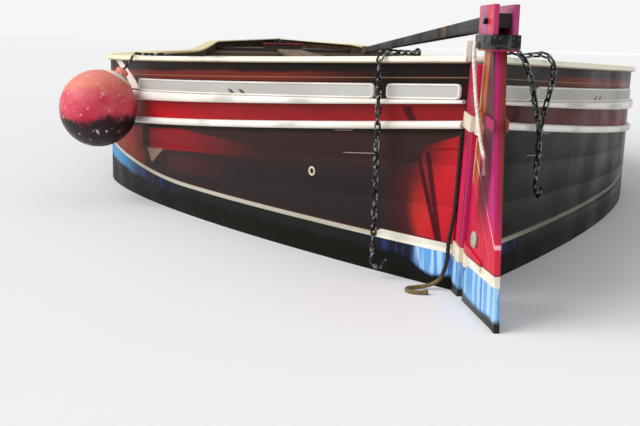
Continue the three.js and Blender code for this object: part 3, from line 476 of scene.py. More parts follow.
def rudder_paint():
    """The rudder's boards: rose red, with orange, maroon and magenta lines down the stock, and painted
    highlight lines across the lower blade.
    """
    finish = Finish("rudder_paint")
    height = finish.over_water()
    stock = RUDDER_AXIS_X - finish.along("X") - height * RAKE_SLOPE
    streaks = finish.noise(30, stretch=(1, 1, 0.03), detail=3, shift=2.0)
    color = streaks.rise(0.4, 0.62).mix(rgb("#d3213f"), rgb("#b8183c"))
    sway = finish.ragged(5, 0.006, stretch=(0, 0, 1), detail=2)
    lined = upright_lines(color, stock + sway, height, (
        (-0.040, 0.046, "#b0642a", 0.28, 0.9), (0.005, 0.011, "#dcbd9c", 0.28, 0.85),
        (0.019, 0.026, "#713619", 0.28, 0.85), (0.047, 0.074, "#51302a", 0.28, 0.85),
        (0.074, 0.130, "#a2245c", 0.30, 0.85),
    ))
    streaked = over(color, streaks.rise(0.45, 0.55), "#9c3f78", 0.8)
    color = height.rise(0.565, 0.570).mix(lined, streaked)
    # Painted highlights: a pale pink line and a fainter one run down and aft across the lower blade, with
    # magenta aft of them.
    fan = stock + height * 1.03
    fan_span = height.within(0.14, 0.33, 0.02)
    color = over(color, fan.rise(0.36, 0.40) * fan_span, "#c01c68", 0.75)
    color = over(color, fan.within(0.354, 0.360, 0.0015) * fan_span, "#f4c3cb", 0.9)
    color = over(color, fan.within(0.300, 0.306, 0.002) * fan_span, "#e2607c", 0.6)
    on_edge = height.rise(0.16, 0.26)
    for low, high, tone in (
        (0.0105, 0.0145, "#4e2630"), (0.0030, 0.0105, "#b81f72"), (-0.0050, 0.0030, "#a01f36"),
        (-0.0145, -0.0050, "#6d3420"),
    ):
        color = over(color, finish.along("Y").within(low, high, 0.0008) * on_edge, tone, 0.9)
    return post_finish(finish, color, height, 0.25)


def edge_worn(name, color_of, dirt, wear, grain):
    """Paint that is rubbed away along the edges."""
    finish = Finish(name)
    color = weather(finish, color_of(finish), dirt, 0.3)
    chips = finish.noise(9, stretch=grain, detail=2, roughness=0.4, shift=18.0)
    color = over(color, finish.value("edge") * chips.rise(0.5, 0.75), wear, 0.5)
    painted_bump(finish)
    return finish.done(color, gloss(finish, 0.4, 0.6), shine=0.25)


def rail_tone(finish):
    """Cream, yellower away from the stern, with painted shade in tan on the lower edge."""
    color = finish.value("along").rise(0.9, 1.9).mix(rgb("#f7f0df"), rgb("#f3e2a6"))
    return over(color, finish.value("lift").fall(0.12, 0.38), "#9c8561", 0.8)


def strake_tone(finish):
    return finish.tones(6, "#f8f5ee", "#e9e2d8", stretch=WOOD_ALONG_X)


def panel_paint():
    """Pale grey boards, with two short dark slips on the long one."""
    finish = Finish("panel_paint")
    lift = finish.value("lift")
    color = finish.tones(2.5, "#bdbbb7", "#a9a6a2", stretch=(0.5, 1, 2), detail=4)
    color = over(color, lift.rise(0.8, 1.0), "#8f8b86", 0.6)
    for start in (0.640, 0.596):
        slip = (finish.value("along") - (lift * 0.05 + start)).within(-0.008, 0.008, 0.003)
        color = over(color, slip * lift.within(0.12, 0.42, 0.05), "#34322f", 0.9)
    color = weather(finish, color, "#8d8a86", 0.3)
    painted_bump(finish, strength=0.15)
    return finish.done(color, gloss(finish, 0.4, 0.6), shine=PAINT_SHINE)


def bare_wood(name, light, dark, grain=WOOD_ALONG_X):
    finish = Finish(name)
    rings = finish.noise(24, stretch=grain, detail=5, roughness=0.6, distortion=0.6)
    color = rings.rise(0.35, 0.65).mix(rgb(dark), rgb(light))
    fine = finish.noise(120, stretch=grain, detail=3, shift=3.0)
    color = over(color, fine.rise(0.5, 0.75), dark, 0.5)
    weathered = finish.noise(3, detail=5, shift=8.0)
    color = over(color, weathered.rise(0.4, 0.7), "#6d675e", 0.6)
    stains = finish.noise(5, detail=6, roughness=0.65, shift=21.0)
    color = over(color, stains.rise(0.6, 0.72), "#1f1811", 0.6)
    finish.bump(rings + fine, 0.5, 0.003)
    return finish.done(color, weathered.rise(0.3, 0.7, 0.6, 0.85))


def iron_finish(name="iron", rubbed=0.15):
    """Blacked iron with a little rust, with pale specks by a share: rubbed wear, which on the chain also
    stands for painted highlights.
    """
    finish = Finish(name)
    patches = finish.noise(30, detail=6, roughness=0.65)
    rust = patches.rise(0.58, 0.70, 0.0, 0.4)
    color = rust.mix(finish.tones(90, "#2b2e31", "#15171a", detail=3), rgb("#5a3019"))
    color = over(color, finish.noise(75, detail=3, shift=6.0).rise(0.50, 0.58), "#9aa39b", rubbed)
    finish.bump(finish.noise(140, detail=4, shift=2.0), 0.35, 0.002)
    return finish.done(color, patches.rise(0.4, 0.7, 0.3, 0.7), metallic=rust.rise(0.0, 0.5, 0.75, 0.0))


def rope_finish(name, light, dark, fleck=None, soaked=None):
    """Laid fibres, flecked with a tone, or soaked to a tone below a height over the waterline."""
    finish = Finish(name)
    fibres = finish.noise(260, stretch=(1, 1, 0.35), detail=4, roughness=0.7)
    color = fibres.rise(0.35, 0.65).mix(rgb(dark), rgb(light))
    color = over(color, finish.noise(12, detail=4, shift=4.0).rise(0.5, 0.75), dark, 0.6)
    if fleck:
        color = over(color, finish.noise(70, detail=2, shift=9.0).rise(0.55, 0.6), fleck, 0.9)
    if soaked:
        tone, low, high = soaked
        color = over(color, finish.along("Z").fall(WATER + low, WATER + high), tone, 0.85)
    finish.bump(fibres, 0.6, 0.001)
    return finish.done(color, fibres.rise(0.3, 0.7, 0.8, 0.95))


def fender_finish():
    """A ball fender, rose red above and almost black below, with a painted highlight on its top and painted
    white highlight specks.
    """
    finish = Finish("fender_rubber")
    level = finish.along("Z") - FENDER["z"] + finish.ragged(14, 0.13, detail=6, roughness=0.65)
    tone = finish.tones(10, "#cb2846", "#e25f70", detail=5)
    # A painted highlight: the top of the ball turns pale.
    tone = over(tone, level.rise(0.03, 0.10), "#f0927c", 0.85)
    color = level.rise(-0.045, -0.005).mix(rgb("#2a161b"), tone)
    # Painted highlights: pale specks all over the ball.
    highlight_specks = finish.noise(45, detail=6, roughness=0.7, shift=9.0)
    color = over(color, highlight_specks.rise(0.60, 0.66), "#f0e2dc", 0.8)
    finish.bump(finish.noise(60, detail=4, shift=3.0), 0.25, 0.003)
    return finish.done(color, gloss(finish, 0.35, 0.6), shine=0.3)


def deck_finish(name="deck_paint", base="#3b332d", grain=WOOD_ALONG_X):
    """Dull worn paint with the wood showing in patches."""
    finish = Finish(name)
    worn = finish.noise(4, detail=6, roughness=0.65, shift=25.0)
    color = over(weather(finish, rgb(base), "#1b1714", 0.5, grain), worn.rise(0.6, 0.68), "#6f5a43", 0.75)
    painted_bump(finish, grain, 0.4)
    return finish.done(color, worn.rise(0.4, 0.7, 0.45, 0.75))


# Meshes

class Shape:
    """Points, faces and numbers stored at the points, gathered part by part."""

    def __init__(self):
        self.points = []
        self.faces = []
        self.values = {}

    def add(self, points, faces, **values):
        """Adds a part. A single number stands for all its points."""
        start = len(self.points)
        self.points.extend(Vector(point) for point in points)
        self.faces.extend([start + k for k in face] for face in faces)
        for name, numbers in values.items():
            many = numbers if isinstance(numbers, list) else [numbers] * len(points)
            self.values.setdefault(name, []).extend(many)
        return self

    def sweep(self, rings, closed=False, caps="fan", **values):
        """Adds a body swept through rings of equal size."""
        points = [point for ring in rings for point in ring]
        return self.add(points, skin(len(rings), len(rings[0]), closed, caps), **values)

    def mirrored(self):
        """The same shape on the other side of the boat."""
        other = Shape()
        other.points = [Vector((p.x, -p.y, p.z)) for p in self.points]
        other.faces = [list(reversed(face)) for face in self.faces]
        other.values = self.values
        return other


def skin(count, size, closed, caps):
    """Faces through a number of rings of a size. Caps are single faces or ladders of them."""
    faces = []
    for i in range(count if closed else count - 1):
        here = i * size
        there = ((i + 1) % count) * size
        for j in range(size):
            following = (j + 1) % size
            faces.append([here + j, there + j, there + following, here + following])
    if closed:
        return faces
    end = (count - 1) * size
    if caps == "ladder":
        for j in range(size // 2 - 1):
            across = size - 1 - j
            faces.append([j, j + 1, across - 1, across])
            faces.append([end + across, end + across - 1, end + j + 1, end + j])
        return faces
    return faces + [list(range(size)), [end + j for j in reversed(range(size))]]


def merged(shapes):
    whole = Shape()
    for shape in shapes:
        whole.add(shape.points, shape.faces)
    return whole


@contextlib.contextmanager
def editing(mesh):
    """Opens a mesh for editing and stores it when done."""
    edit = bmesh.new()
    edit.from_mesh(mesh)
    yield edit
    edit.to_mesh(mesh)
    edit.free()


def turns_more(edge, angle):
    return edge.calc_face_angle(0.0) > math.radians(angle)


def keep(name, mesh, material, body, nodes=(), angle=40):
    """A piece that rides on a body and stands for some nodes, sharp at edges that turn more than an angle."""
    mesh.materials.clear()
    mesh.materials.append(material)
    with editing(mesh) as edit:
        for face in edit.faces:
            face.smooth = True
        for edge in edit.edges:
            edge.smooth = len(edge.link_faces) == 2 and not turns_more(edge, angle)
    made = in_scene(name, mesh)
    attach(made, body)
    if nodes:
        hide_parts(*nodes)
    return made


def piece(name, shape, material, body="hull", nodes=(), angle=40):
    mesh = bpy.data.meshes.new(name)
    mesh.from_pydata(shape.points, [], shape.faces)
    mesh.update()
    with editing(mesh) as edit:
        bmesh.ops.recalc_face_normals(edit, faces=edit.faces)
    for value_name, numbers in shape.values.items():
        mesh.attributes.new(value_name, "FLOAT", "POINT").data.foreach_set("value", numbers)
    return keep(name, mesh, material, body, nodes, angle)


# The hull's surface. A place on it is an end of the boat, a distance from that end's apex and a height.

STEP = 0.004
NEAR_STEP = 0.035
FAR_STEP = 0.22


def share_left(distance, length):
    """One at the apex, falling to zero where a length ends."""
    return max(0.0, 1 - distance / length)


def narrowing(distance, length, full, power):
    return RABBET_HALF + (full - RABBET_HALF) * (1 - share_left(distance, length) ** power)


def side_point(end, distance, z):
    """The planking's outer face on the port side, in plan."""
    above = narrowing(distance, end["run"], HALF_BEAM, ENTRY_POWER)
    below = narrowing(distance, end["swim"], CHINE_HALF_BEAM, SWIM_POWER)
    share = min(1.0, max(0.0, (z - BOTTOM) / (WATER - BOTTOM)))
    fade = share_left(distance, end["run"]) ** 2
    reach = APEX - distance + RAKE_SLOPE * (z - WATER) * fade
    return Vector((end["sign"] * reach, below + (above - below) * share))


def outward(end, distance, z):
    before = side_point(end, max(0.0, distance - STEP), z)
    after = side_point(end, distance + STEP, z)
    run = ((after - before) * -end["sign"]).normalized()
    return Vector((-run.y, run.x))


def offset_point(end, distance, z, offset):
    """A point outside or inside the planking's outer face, kept off the centreline."""
    base = side_point(end, distance, z)
    out = outward(end, distance, z)
    place = base + out * max(offset, (CENTRE_GAP - base.y) / out.y)
    return Vector((place.x, place.y, z))


def line_height(name, end, distance):
    post, shoulder = LINES[name]
    share = min(1.0, max(0.0, (distance - end["run"]) / (APEX - end["run"])))
    middle = share * share * (3 - 2 * share)
    left = share_left(distance, end["run"])
    return WATER + shoulder + (post - shoulder) * left ** 1.5 - SHEER * middle


def end_stations(end):
    """Places from an apex to amidships, close together where the side curves."""
    distances = [0.0]
    while distances[-1] < APEX - 1e-6:
        step = NEAR_STEP if distances[-1] < end["run"] + 0.1 else FAR_STEP
        distances.append(min(APEX, distances[-1] + step))
    return [(end, distance) for distance in distances]


STATIONS = end_stations(STERN) + end_stations(BOW)[-2::-1]


def strip(section, stations=STATIONS):
    """A body along the side. section gives its outline at a place, as offset, height and edge share."""
    rings = []
    values = {"along": [], "edge": [], "lift": []}
    for end, distance in stations:
        outline = section(end, distance)
        rings.append([offset_point(end, distance, z, offset) for offset, z, _ in outline])
        heights = [z for _, z, _ in outline]
        low, high = min(heights), max(heights)
        values["along"] += [distance] * len(outline)
        values["edge"] += [edge for _, _, edge in outline]
        values["lift"] += [(z - low) / (high - low) for z in heights]
    return Shape().sweep(rings, **values)


def both_sides(name, shape, material, nodes=None):
    """Puts a shape on both sides, each for its own nodes of the frame."""
    for side, form in (("port", shape), ("starboard", shape.mirrored())):
        replaced = [f"{node}_{side}" for node in (nodes or [name])]
        piece(f"{name}_look_{side}", form, material, nodes=replaced)


def in_lengths(name):
    """The frame's nodes of a strip that is built of three lengths."""
    return [f"{name}_{length}" for length in ("aft", "middle", "fore")]


SEAM = {"half": 0.0010, "depth": 0.0006}
LOW_SEAMS = (0.17, 0.27, 0.36)
HIGH_SEAMS = (0.26, 0.52, 0.78)  # shares of the way from the waterline to the lower strake


def hull_levels(end, distance):
    """Heights of the planking's points at a station, each with how deep it lies in a seam."""
    strake = line_height("lower_strake_bottom", end, distance)
    seams = [*LOW_SEAMS, *(WATER + (strake - WATER) * share for share in HIGH_SEAMS)]
    levels = [(BOTTOM + SEAT, 0.0), (WATER, 0.0)]
    for seam in seams:
        levels += [(seam - SEAM["half"], 0.0), (seam, SEAM["depth"]), (seam + SEAM["half"], 0.0)]
    levels += [(line_height(line, end, distance), 0.0) for line in LINES if line != "rail_top"]
    return sorted(levels)


def hull_sides(material):
    """The planking, with the numbers that its paint needs stored at its points."""
    rings = []
    values = {"along": [], "height": [], "under_strake": [], "over_panel": [], "band": [], "inner": []}
    for end, distance in STATIONS:
        levels = hull_levels(end, distance)
        outer = [offset_point(end, distance, z, -depth) for z, depth in levels]
        inner = [offset_point(end, distance, z, -PLANK) for z, _ in levels]
        rings.append(outer + inner[::-1])
        lower, belt, panel = (
            line_height(line, end, distance)
            for line in ("lower_strake_bottom", "lower_strake_top", "panel_top")
        )
        for point in rings[-1]:
            values["along"].append(distance)
            values["height"].append(point.z - WATER)
            values["under_strake"].append(lower - point.z)
            values["over_panel"].append(point.z - panel)
            values["band"].append(point.z - belt)
        values["inner"] += [0.0] * len(outer) + [1.0] * len(inner)
    shape = Shape().sweep(rings, caps="ladder", **values)
    both_sides("side", shape, material, in_lengths("side"))


def rounded_box(low, high, inner, outer, radius, margin=0.0015, corner_steps=3):
    """A rounded rectangle as offset and height, each point with its share of edge wear."""
    corners = (
        (inner + radius, low + radius, 1.5 * math.pi), (inner + radius, high - radius, math.pi),
        (outer - radius, high - radius, 0.5 * math.pi), (outer - radius, low + radius, 0.0),
    )
    outline = []
    for offset, z, start in corners:
        turns = [start - k * (math.pi / 2) / corner_steps for k in range(corner_steps + 1)]
        arc = [(offset + radius * math.cos(turn), z + radius * math.sin(turn), 1.0) for turn in turns]
        for arc_end, turn, way in ((arc[0], turns[0], -1), (arc[-1], turns[-1], 1)):
            beyond_x = arc_end[0] + way * math.sin(turn) * margin
            beyond_z = arc_end[1] - way * math.cos(turn) * margin
            arc.insert(0 if way < 0 else len(arc), (beyond_x, beyond_z, 0.0))
        outline += arc
    return outline


STRAKES = {
    "upper_strake": ("upper_strake_bottom", "panel_bottom"),
    "lower_strake": ("lower_strake_bottom", "lower_strake_top"),
}
STRAKE = {"proud": 0.016, "steps": 12, "fullness": 0.55}


def strakes(material):
    """The rubbing strakes, rounded on the outside."""
    for name, (low_line, high_line) in STRAKES.items():
        def section(end, distance):
            low = line_height(low_line, end, distance)
            high = line_height(high_line, end, distance)
            arc = []
            for k in range(STRAKE["steps"] + 1):
                angle = math.pi * k / STRAKE["steps"]
                bulge = math.sin(angle) ** STRAKE["fullness"]
                z = (low + high) / 2 + (high - low) / 2 * math.cos(angle)
                arc.append((SEAT + (STRAKE["proud"] - SEAT) * bulge, z, bulge ** 4))
            return arc + [(SEAT, z, 0.0) for _, z, _ in reversed(arc[1:-1])]

        both_sides(name, strip(section), material)


RAIL = {"inner": -0.105, "outer": 0.014, "radius": 0.005}
HORN = {
    "half": 0.0055, "inner": 0.023, "outer": 0.037, "low": 0.004, "high": 0.032, "radius": 0.005,
    "ease": 0.0015, "steps": 6,
}


def rail_section(end, distance):
    low = line_height("rail_bottom", end, distance) + SEAT
    high = line_height("rail_top", end, distance)
    return rounded_box(low, high, RAIL["inner"], RAIL["outer"], RAIL["radius"])


def add_horn(shape, end):
    """The rail's upturned block beside a post."""
    half, ease, inner, outer, radius = (HORN[key] for key in ("half", "ease", "inner", "outer", "radius"))
    low = WATER + LINES["rail_bottom"][0] + HORN["low"]
    high = WATER + LINES["rail_top"][0] + HORN["high"]
    outline = [(inner, low), (outer, low)]
    for k in range(HORN["steps"] + 1):
        angle = math.pi / 2 * k / HORN["steps"]
        outline.append((outer + radius * (math.cos(angle) - 1), high + radius * (math.sin(angle) - 1)))
    outline.append((inner, high))
    rings = []
    for shift, inset in ((-half, ease), (-half + ease, 0.0), (half - ease, 0.0), (half, ease)):
        ring = []
        for y, z in outline:
            z_in = z - inset * (1 if z > low else -1)
            x = APEX + shift + RAKE_SLOPE * (z_in - WATER)
            ring.append((end["sign"] * x, y + inset * (1 if y == inner else -1), z_in))
        rings.append(ring)
    shape.sweep(rings, along=0.0, edge=0.3, lift=1.0)


def rails(material):
    shape = strip(rail_section)
    add_horn(shape, STERN)
    add_horn(shape, BOW)
    both_sides("gunwale", shape, material, in_lengths("gunwale"))


# The stern panels: a board in a raised frame with round corners

PANELS = {"stern_panel_short": (0.010, 0.170), "stern_panel_long": (0.200, 1.190)}
BOARD = {"inset": 0.002, "margin": 0.001, "proud": 0.0045}
FRAME = {"half": 0.0027, "base": 0.0008, "proud": 0.0075, "corner": 0.010}


def panel_heights(distance):
    return line_height("panel_bottom", STERN, distance) + SEAT, line_height("panel_top", STERN, distance)


def panel_board(first, last):
    start, length = first + BOARD["inset"], last - first - 2 * BOARD["inset"]
    count = max(4, int((last - first) / NEAR_STEP) + 1)

    def section(end, distance):
        low, high = panel_heights(distance)
        margin = BOARD["margin"]
        return rounded_box(low + margin, high - margin, SEAT, BOARD["proud"], margin, margin / 2, 1)

    return strip(section, [(STERN, start + length * k / count) for k in range(count + 1)])


def rounded_path(first, last, up, steps=5):
    """A round-cornered loop as distance and share of the height, with the way out of it at each point."""
    radius = FRAME["corner"]
    near, far = first + radius, last - radius
    count = int((far - near) / NEAR_STEP)
    loop = []
    for quarter, corner, share in ((0, far, 1 - up), (1, near, 1 - up), (2, near, up), (3, far, up)):
        for k in range(steps + 1):
            angle = (quarter + k / steps) * math.pi / 2
            loop.append((corner + radius * math.cos(angle), share + up * math.sin(angle), angle))
        if quarter in (0, 2):
            run = near + far - 2 * corner
            level, way = 1 - quarter / 2, (quarter + 1) * math.pi / 2
            loop += [(corner + run * k / count, level, way) for k in range(1, count)]
    return loop


def panel_frame(first, last):
    """The raised half-round frame on a panel's rim."""
    height = line_height("panel_top", STERN, first) - line_height("panel_bottom", STERN, first)
    rings = []
    for distance, share, angle in rounded_path(first, last, FRAME["corner"] / height):
        ring = []
        for k in range(9):
            turn = math.pi * k / 8
            across = (math.cos(turn) - 1) * FRAME["half"]
            rise = FRAME["base"] + (FRAME["proud"] - FRAME["base"]) * math.sin(turn)
            place = distance + across * math.cos(angle)
            low, high = panel_heights(place)
            z = low + (high - low) * (share + across * math.sin(angle) / height)
            ring.append(offset_point(STERN, place, z, rise))
        rings.append(ring)
    return Shape().sweep(rings, closed=True, edge=0.4)


def panels(board_material, frame_material):
    for name, (first, last) in PANELS.items():
        both_sides(name, panel_board(first, last), board_material)
        frame_shape = panel_frame(first, last)
        for side, form in (("port", frame_shape), ("starboard", frame_shape.mirrored())):
            piece(f"{name}_frame_{side}", form, frame_material)


# Pieces that keep the frame's own shape, with eased edges and scored boards

# Nodes, their material, body and slot, and how far their edges are eased
OWN_SHAPES = (
    ("stern_deck fore_deck", "deck", "hull", "deckPaint", 0.002),
    ("bottom", "tar", "hull", "bottomTar", 0.004),
    ("floorboards", "wood", "hull", "bareWood", 0.003),
    ("keelson gangplank", "wood", "hull", "bareWood", 0.004),
    ("frames_port frames_starboard beam_aft beam_middle beam_fore", "cross_wood", "hull", "bareWood", 0.004),
    ("stern_bulkhead fore_bulkhead fore_coaming", "boards", "hull", "deckPaint", 0.002),
    ("locker_door_port", "boards", "locker_door_port", "deckPaint", 0.002),
    ("locker_door_starboard", "boards", "locker_door_starboard", "deckPaint", 0.002),
    ("fore_hatch_lid", "lid", "fore_hatch_lid", "topside", 0.002),
    ("gudgeon_upper gudgeon_lower", "pale_iron", "hull", "iron", 0.0015),
    ("heel_shoe", "iron", "hull", "iron", 0.003),
    ("pintle_upper pintle_lower", "blade", "rudder", "iron", 0.0012),
    ("rudder_collar", "iron", "rudder", "iron", 0.0015),
    ("tiller_pin", "iron", "rudder", "iron", 0.001),
    ("dolly_port dolly_starboard bow_stud", "iron", "hull", "iron", 0.0015),
    ("sternpost stempost", "post", "hull", "post", 0.004),
    ("rudder_blade", "blade", "rudder", "post", 0.004),
    ("rudder_head", "blade", "rudder", "post", 0.003),
    ("tiller", "tiller", "tiller", "darkWood", 0.005),
)
EDGE_SEGMENTS = {"tiller": 3}

# Grooves between boards: the axis that they are spaced along, from where to where and their pitch, the
# axis that the scored faces stand across, and each face's place with how far its grooves are pushed
LOCKER_GROOVES = (0.097, 0, {-5.142: 0.002, -5.118: -0.002})
GROOVES = {
    "stern_deck": (1, (-0.95, 0.95), 0.135, 2, {0.845: -0.003}),
    "fore_deck": (1, (-0.99, 0.99), 0.135, 2, {0.845: -0.003}),
    "bottom": (0, (-6.6, 6.6), 0.22, 2, {0.0: 0.002, 0.06: -0.002}),
    "floorboards": (1, (-0.78, 0.78), 0.17, 2, {0.1783: -0.005}),
    "stern_bulkhead": (1, (-0.94, 0.94), 0.12, 0, {-5.150: 0.002, -5.118: -0.002}),
    "fore_bulkhead": (1, (-0.97, 0.97), 0.12, 0, {4.748: 0.002, 4.780: -0.002}),
    "fore_hatch_lid": (1, (-0.29, 0.29), 0.145, 2, {0.9125: -0.003}),
    "locker_door_port": (1, None, *LOCKER_GROOVES),
    "locker_door_starboard": (1, None, *LOCKER_GROOVES),
}
GROOVE_HALF = 0.0015
AT_FACE = 1e-4
EASED_FROM = 35


def score(edit, axis, place, face_axis, pushes):
    """Cuts a fine groove at a place along an axis, into faces that stand across another."""
    normal = Vector((0, 0, 0))
    normal[axis] = 1
    for shift in (-GROOVE_HALF, 0.0, GROOVE_HALF):
        bmesh.ops.bisect_plane(
            edit, geom=edit.verts[:] + edit.edges[:] + edit.faces[:], plane_co=normal * (place + shift),
            plane_no=normal,
        )
    for vertex in edit.verts:
        if abs(vertex.co[axis] - place) < 1e-5:
            for face, push in pushes.items():
                if abs(vertex.co[face_axis] - face) < AT_FACE:
                    vertex.co[face_axis] += push


def scored(edit, node):
    axis, span, pitch, face_axis, pushes = GROOVES[node]
    low, high = span or (corner[axis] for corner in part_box(node))
    count = round((high - low) / pitch)
    for k in range(1, count):
        score(edit, axis, low + (high - low) * k / count, face_axis, pushes)


def dressed(node, material, body, ease):
    """The node's own shape with eased edges, and grooves where it has them."""
    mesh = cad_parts[node].data.copy()
    with editing(mesh) as edit:
        bmesh.ops.remove_doubles(edit, verts=edit.verts, dist=1e-5)
        bmesh.ops.dissolve_limit(edit, angle_limit=math.radians(1), verts=edit.verts, edges=edit.edges)
        hard = [e for e in edit.edges if len(e.link_faces) == 2 and turns_more(e, EASED_FROM)]
        bmesh.ops.bevel(
            edit, geom=hard, offset=ease, offset_type="OFFSET", segments=EDGE_SEGMENTS.get(node, 2),
            profile=0.6, affect="EDGES", clamp_overlap=True,
        )
        if node in GROOVES:
            scored(edit, node)
    keep(f"{node}_look", mesh, material, body, nodes=[node], angle=35)


def own_shapes(materials):
    for nodes, material, body, slot, ease in OWN_SHAPES:
        for node in nodes.split():
            dressed(node, materials[material], body, ease)


# Long smooth routes for ropes and chains

ROUTE_STEPS = 40


def between(before, first, last, after):
    """Points of a smooth curve from first to last, which also heeds the knots before and after."""
    t1 = (first - before).length ** 0.5
    t2 = t1 + (last - first).length ** 0.5
    t3 = t2 + (after - last).length ** 0.5
    for step in range(ROUTE_STEPS):
        t = t1 + (t2 - t1) * step / ROUTE_STEPS
        middle = first.lerp(last, (t - t1) / (t2 - t1))
        start = before.lerp(first, t / t1).lerp(middle, t / t2)
        end = middle.lerp(last.lerp(after, (t - t2) / (t3 - t2)), (t - t1) / (t3 - t1))
        yield start.lerp(end, (t - t1) / (t2 - t1))


def routed(points, spacing):
    """Evenly spaced points of a smooth curve through some points, and its length."""
    knots = [Vector(point) for point in points]
    knots = [knots[0] * 2 - knots[1]] + knots + [knots[-1] * 2 - knots[-2]]
    fine = [point for k in range(len(knots) - 3) for point in between(*knots[k:k + 4])] + [knots[-2]]
    lengths = [0.0]
    for before, after in zip(fine, fine[1:]):
        lengths.append(lengths[-1] + (after - before).length)
    count = max(2, round(lengths[-1] / spacing))
    result = []
    at = 0
    for k in range(count + 1):
        target = lengths[-1] * k / count
        while at < len(fine) - 2 and lengths[at + 1] < target:
            at += 1
        share = (target - lengths[at]) / (lengths[at + 1] - lengths[at])
        result.append(fine[at].lerp(fine[at + 1], share))
    return result, lengths[-1]


def frames_along(points):
    """The direction and two crosswise directions at each point, turning as little as they can."""
    frames = []
    side = None
    for k in range(len(points)):
        ahead = (points[min(k + 1, len(points) - 1)] - points[max(k - 1, 0)]).normalized()
        if side is None:
            side = ahead.cross(Vector((0, 0, 1)) if abs(ahead.z) < 0.9 else Vector((1, 0, 0)))
        side = (side - ahead * side.dot(ahead)).normalized()
        frames.append((ahead, side, ahead.cross(side)))
    return frames


def circle(center, first, second, radius, sides):
    """Points round a centre, in the plane of two directions."""
    turns = [math.tau * j / sides for j in range(sides)]
    return [center + first * (radius * math.cos(turn)) + second * (radius * math.sin(turn)) for turn in turns]


LAY = {"strands": 3, "sides": 18, "hollow": 0.20, "roundness": 0.7, "radii_a_turn": 7}


def laid_rope(points, radius):
    """A rope of laid strands as one closed body, whose cross-section turns as it goes."""
    rings = []
    travelled = 0.0
    for k, (point, (_, side, up)) in enumerate(zip(points, frames_along(points))):
        travelled += (point - points[max(k - 1, 0)]).length
        turn = math.tau * travelled / (radius * LAY["radii_a_turn"])
        ring = []
        for j in range(LAY["sides"]):
            angle = math.tau * j / LAY["sides"]
            lobe = abs(math.cos(LAY["strands"] * angle / 2)) ** LAY["roundness"]
            reach = radius * (1 - LAY["hollow"] + LAY["hollow"] * lobe)
            turned_to = angle + turn
            ring.append(point + side * (reach * math.cos(turned_to)) + up * (reach * math.sin(turned_to)))
        rings.append(ring)
    return Shape().sweep(rings)


def ring_shape(center, normal, radius, wire, sides=28, around=10):
    """A round ring of round wire."""
    ahead, first, second = frames_along([Vector((0, 0, 0)), Vector(normal)])[0]
    outs = circle(Vector((0, 0, 0)), first, second, 1.0, sides)
    rings = [circle(Vector(center) + out * radius, out, ahead, wire, around) for out in outs]
    return Shape().sweep(rings, closed=True)


def tapered_rod(points, radii, sides=12):
    """A round rod through points, with its own radius at each."""
    return Shape().sweep([
        circle(point, side, up, radius, sides)
        for point, radius, (_, side, up) in zip(points, radii, frames_along(points))
    ])


def turned(profile, center, axis, sides=48):
    """A body turned about an axis through a centre, from a profile of radius and height."""
    turn = Vector((0, 0, 1)).rotation_difference(axis)
    rings = []
    for k in range(sides):
        out = Vector((math.cos(math.tau * k / sides), math.sin(math.tau * k / sides), 0))
        rings.append([center + turn @ (out * radius + Vector((0, 0, z))) for radius, z in profile])
    return Shape().sweep(rings, closed=True)


LINK = {"wire": 0.0026, "width": 0.0056, "straight": 0.0078, "pitch": 0.0205, "steps": 8}


def link_shape(center, ahead, side):
    """One oval chain link along a direction, lying flat towards side."""
    up = ahead.cross(side)
    rings = []
    for half, middle in enumerate((LINK["straight"], -LINK["straight"])):
        for k in range(LINK["steps"] + 1):
            angle = math.pi * (half - 0.5 + k / LINK["steps"])
            out = ahead * math.cos(angle) + side * math.sin(angle)
            rings.append(circle(center + ahead * middle + out * LINK["width"], out, up, LINK["wire"], 8))
    return Shape().sweep(rings, closed=True)


def chain_links(route):
    """Links along a route, each turned a quarter from the last."""
    points, _ = routed(route, LINK["pitch"])
    links = []
    for k, (point, (ahead, side, up)) in enumerate(zip(points, frames_along(points))):
        angle = math.radians(45 + 90 * (k % 2))
        links.append(link_shape(point, ahead, side * math.cos(angle) + up * math.sin(angle)))
    return merged(links)


def forged_hook(route):
    """A hook that swells in its bend and thins to its point, hung by a ring."""
    points, _ = routed(route, 0.004)
    radii = []
    for k in range(len(points) - 1):
        share = k / (len(points) - 1)
        radii.append(0.0034 + 0.0030 * math.sin(math.pi * min(1.0, share * 1.25)) * (1 - share * 0.2))
    ring = ring_shape(points[0] + Vector((0, 0, 0.004)), (0, 1, 0), 0.0062, 0.0024)
    return merged([tapered_rod(points, radii + [0.0016]), ring])


# Ropes, chains and fenders

CORD_GAP = 0.0006
FENDER = {
    "distance": 1.19, "radius": 0.130, "z": 0.765, "clear": 0.003, "tilt": math.radians(35), "neck": 0.030,
}
FENDER_OUT = STRAKE["proud"] + FENDER["radius"] + FENDER["clear"]


def rope_piece(node, route, radius, material, body):
    """A laid rope with a knotted end, along its route."""
    points, length = routed(route, 0.004)
    rope = piece(f"{node}_strands", laid_rope(points, radius), material, body, [node], 60)
    ahead = (points[-1] - points[-3]).normalized()
    turns = [
        ring_shape(points[-1] - ahead * (radius * back), ahead, radius * 0.75, radius * 0.55, 18, 8)
        for back in (1.5, 0.6)
    ]
    end = piece(f"{node}_end", merged(turns), material, body, angle=50)


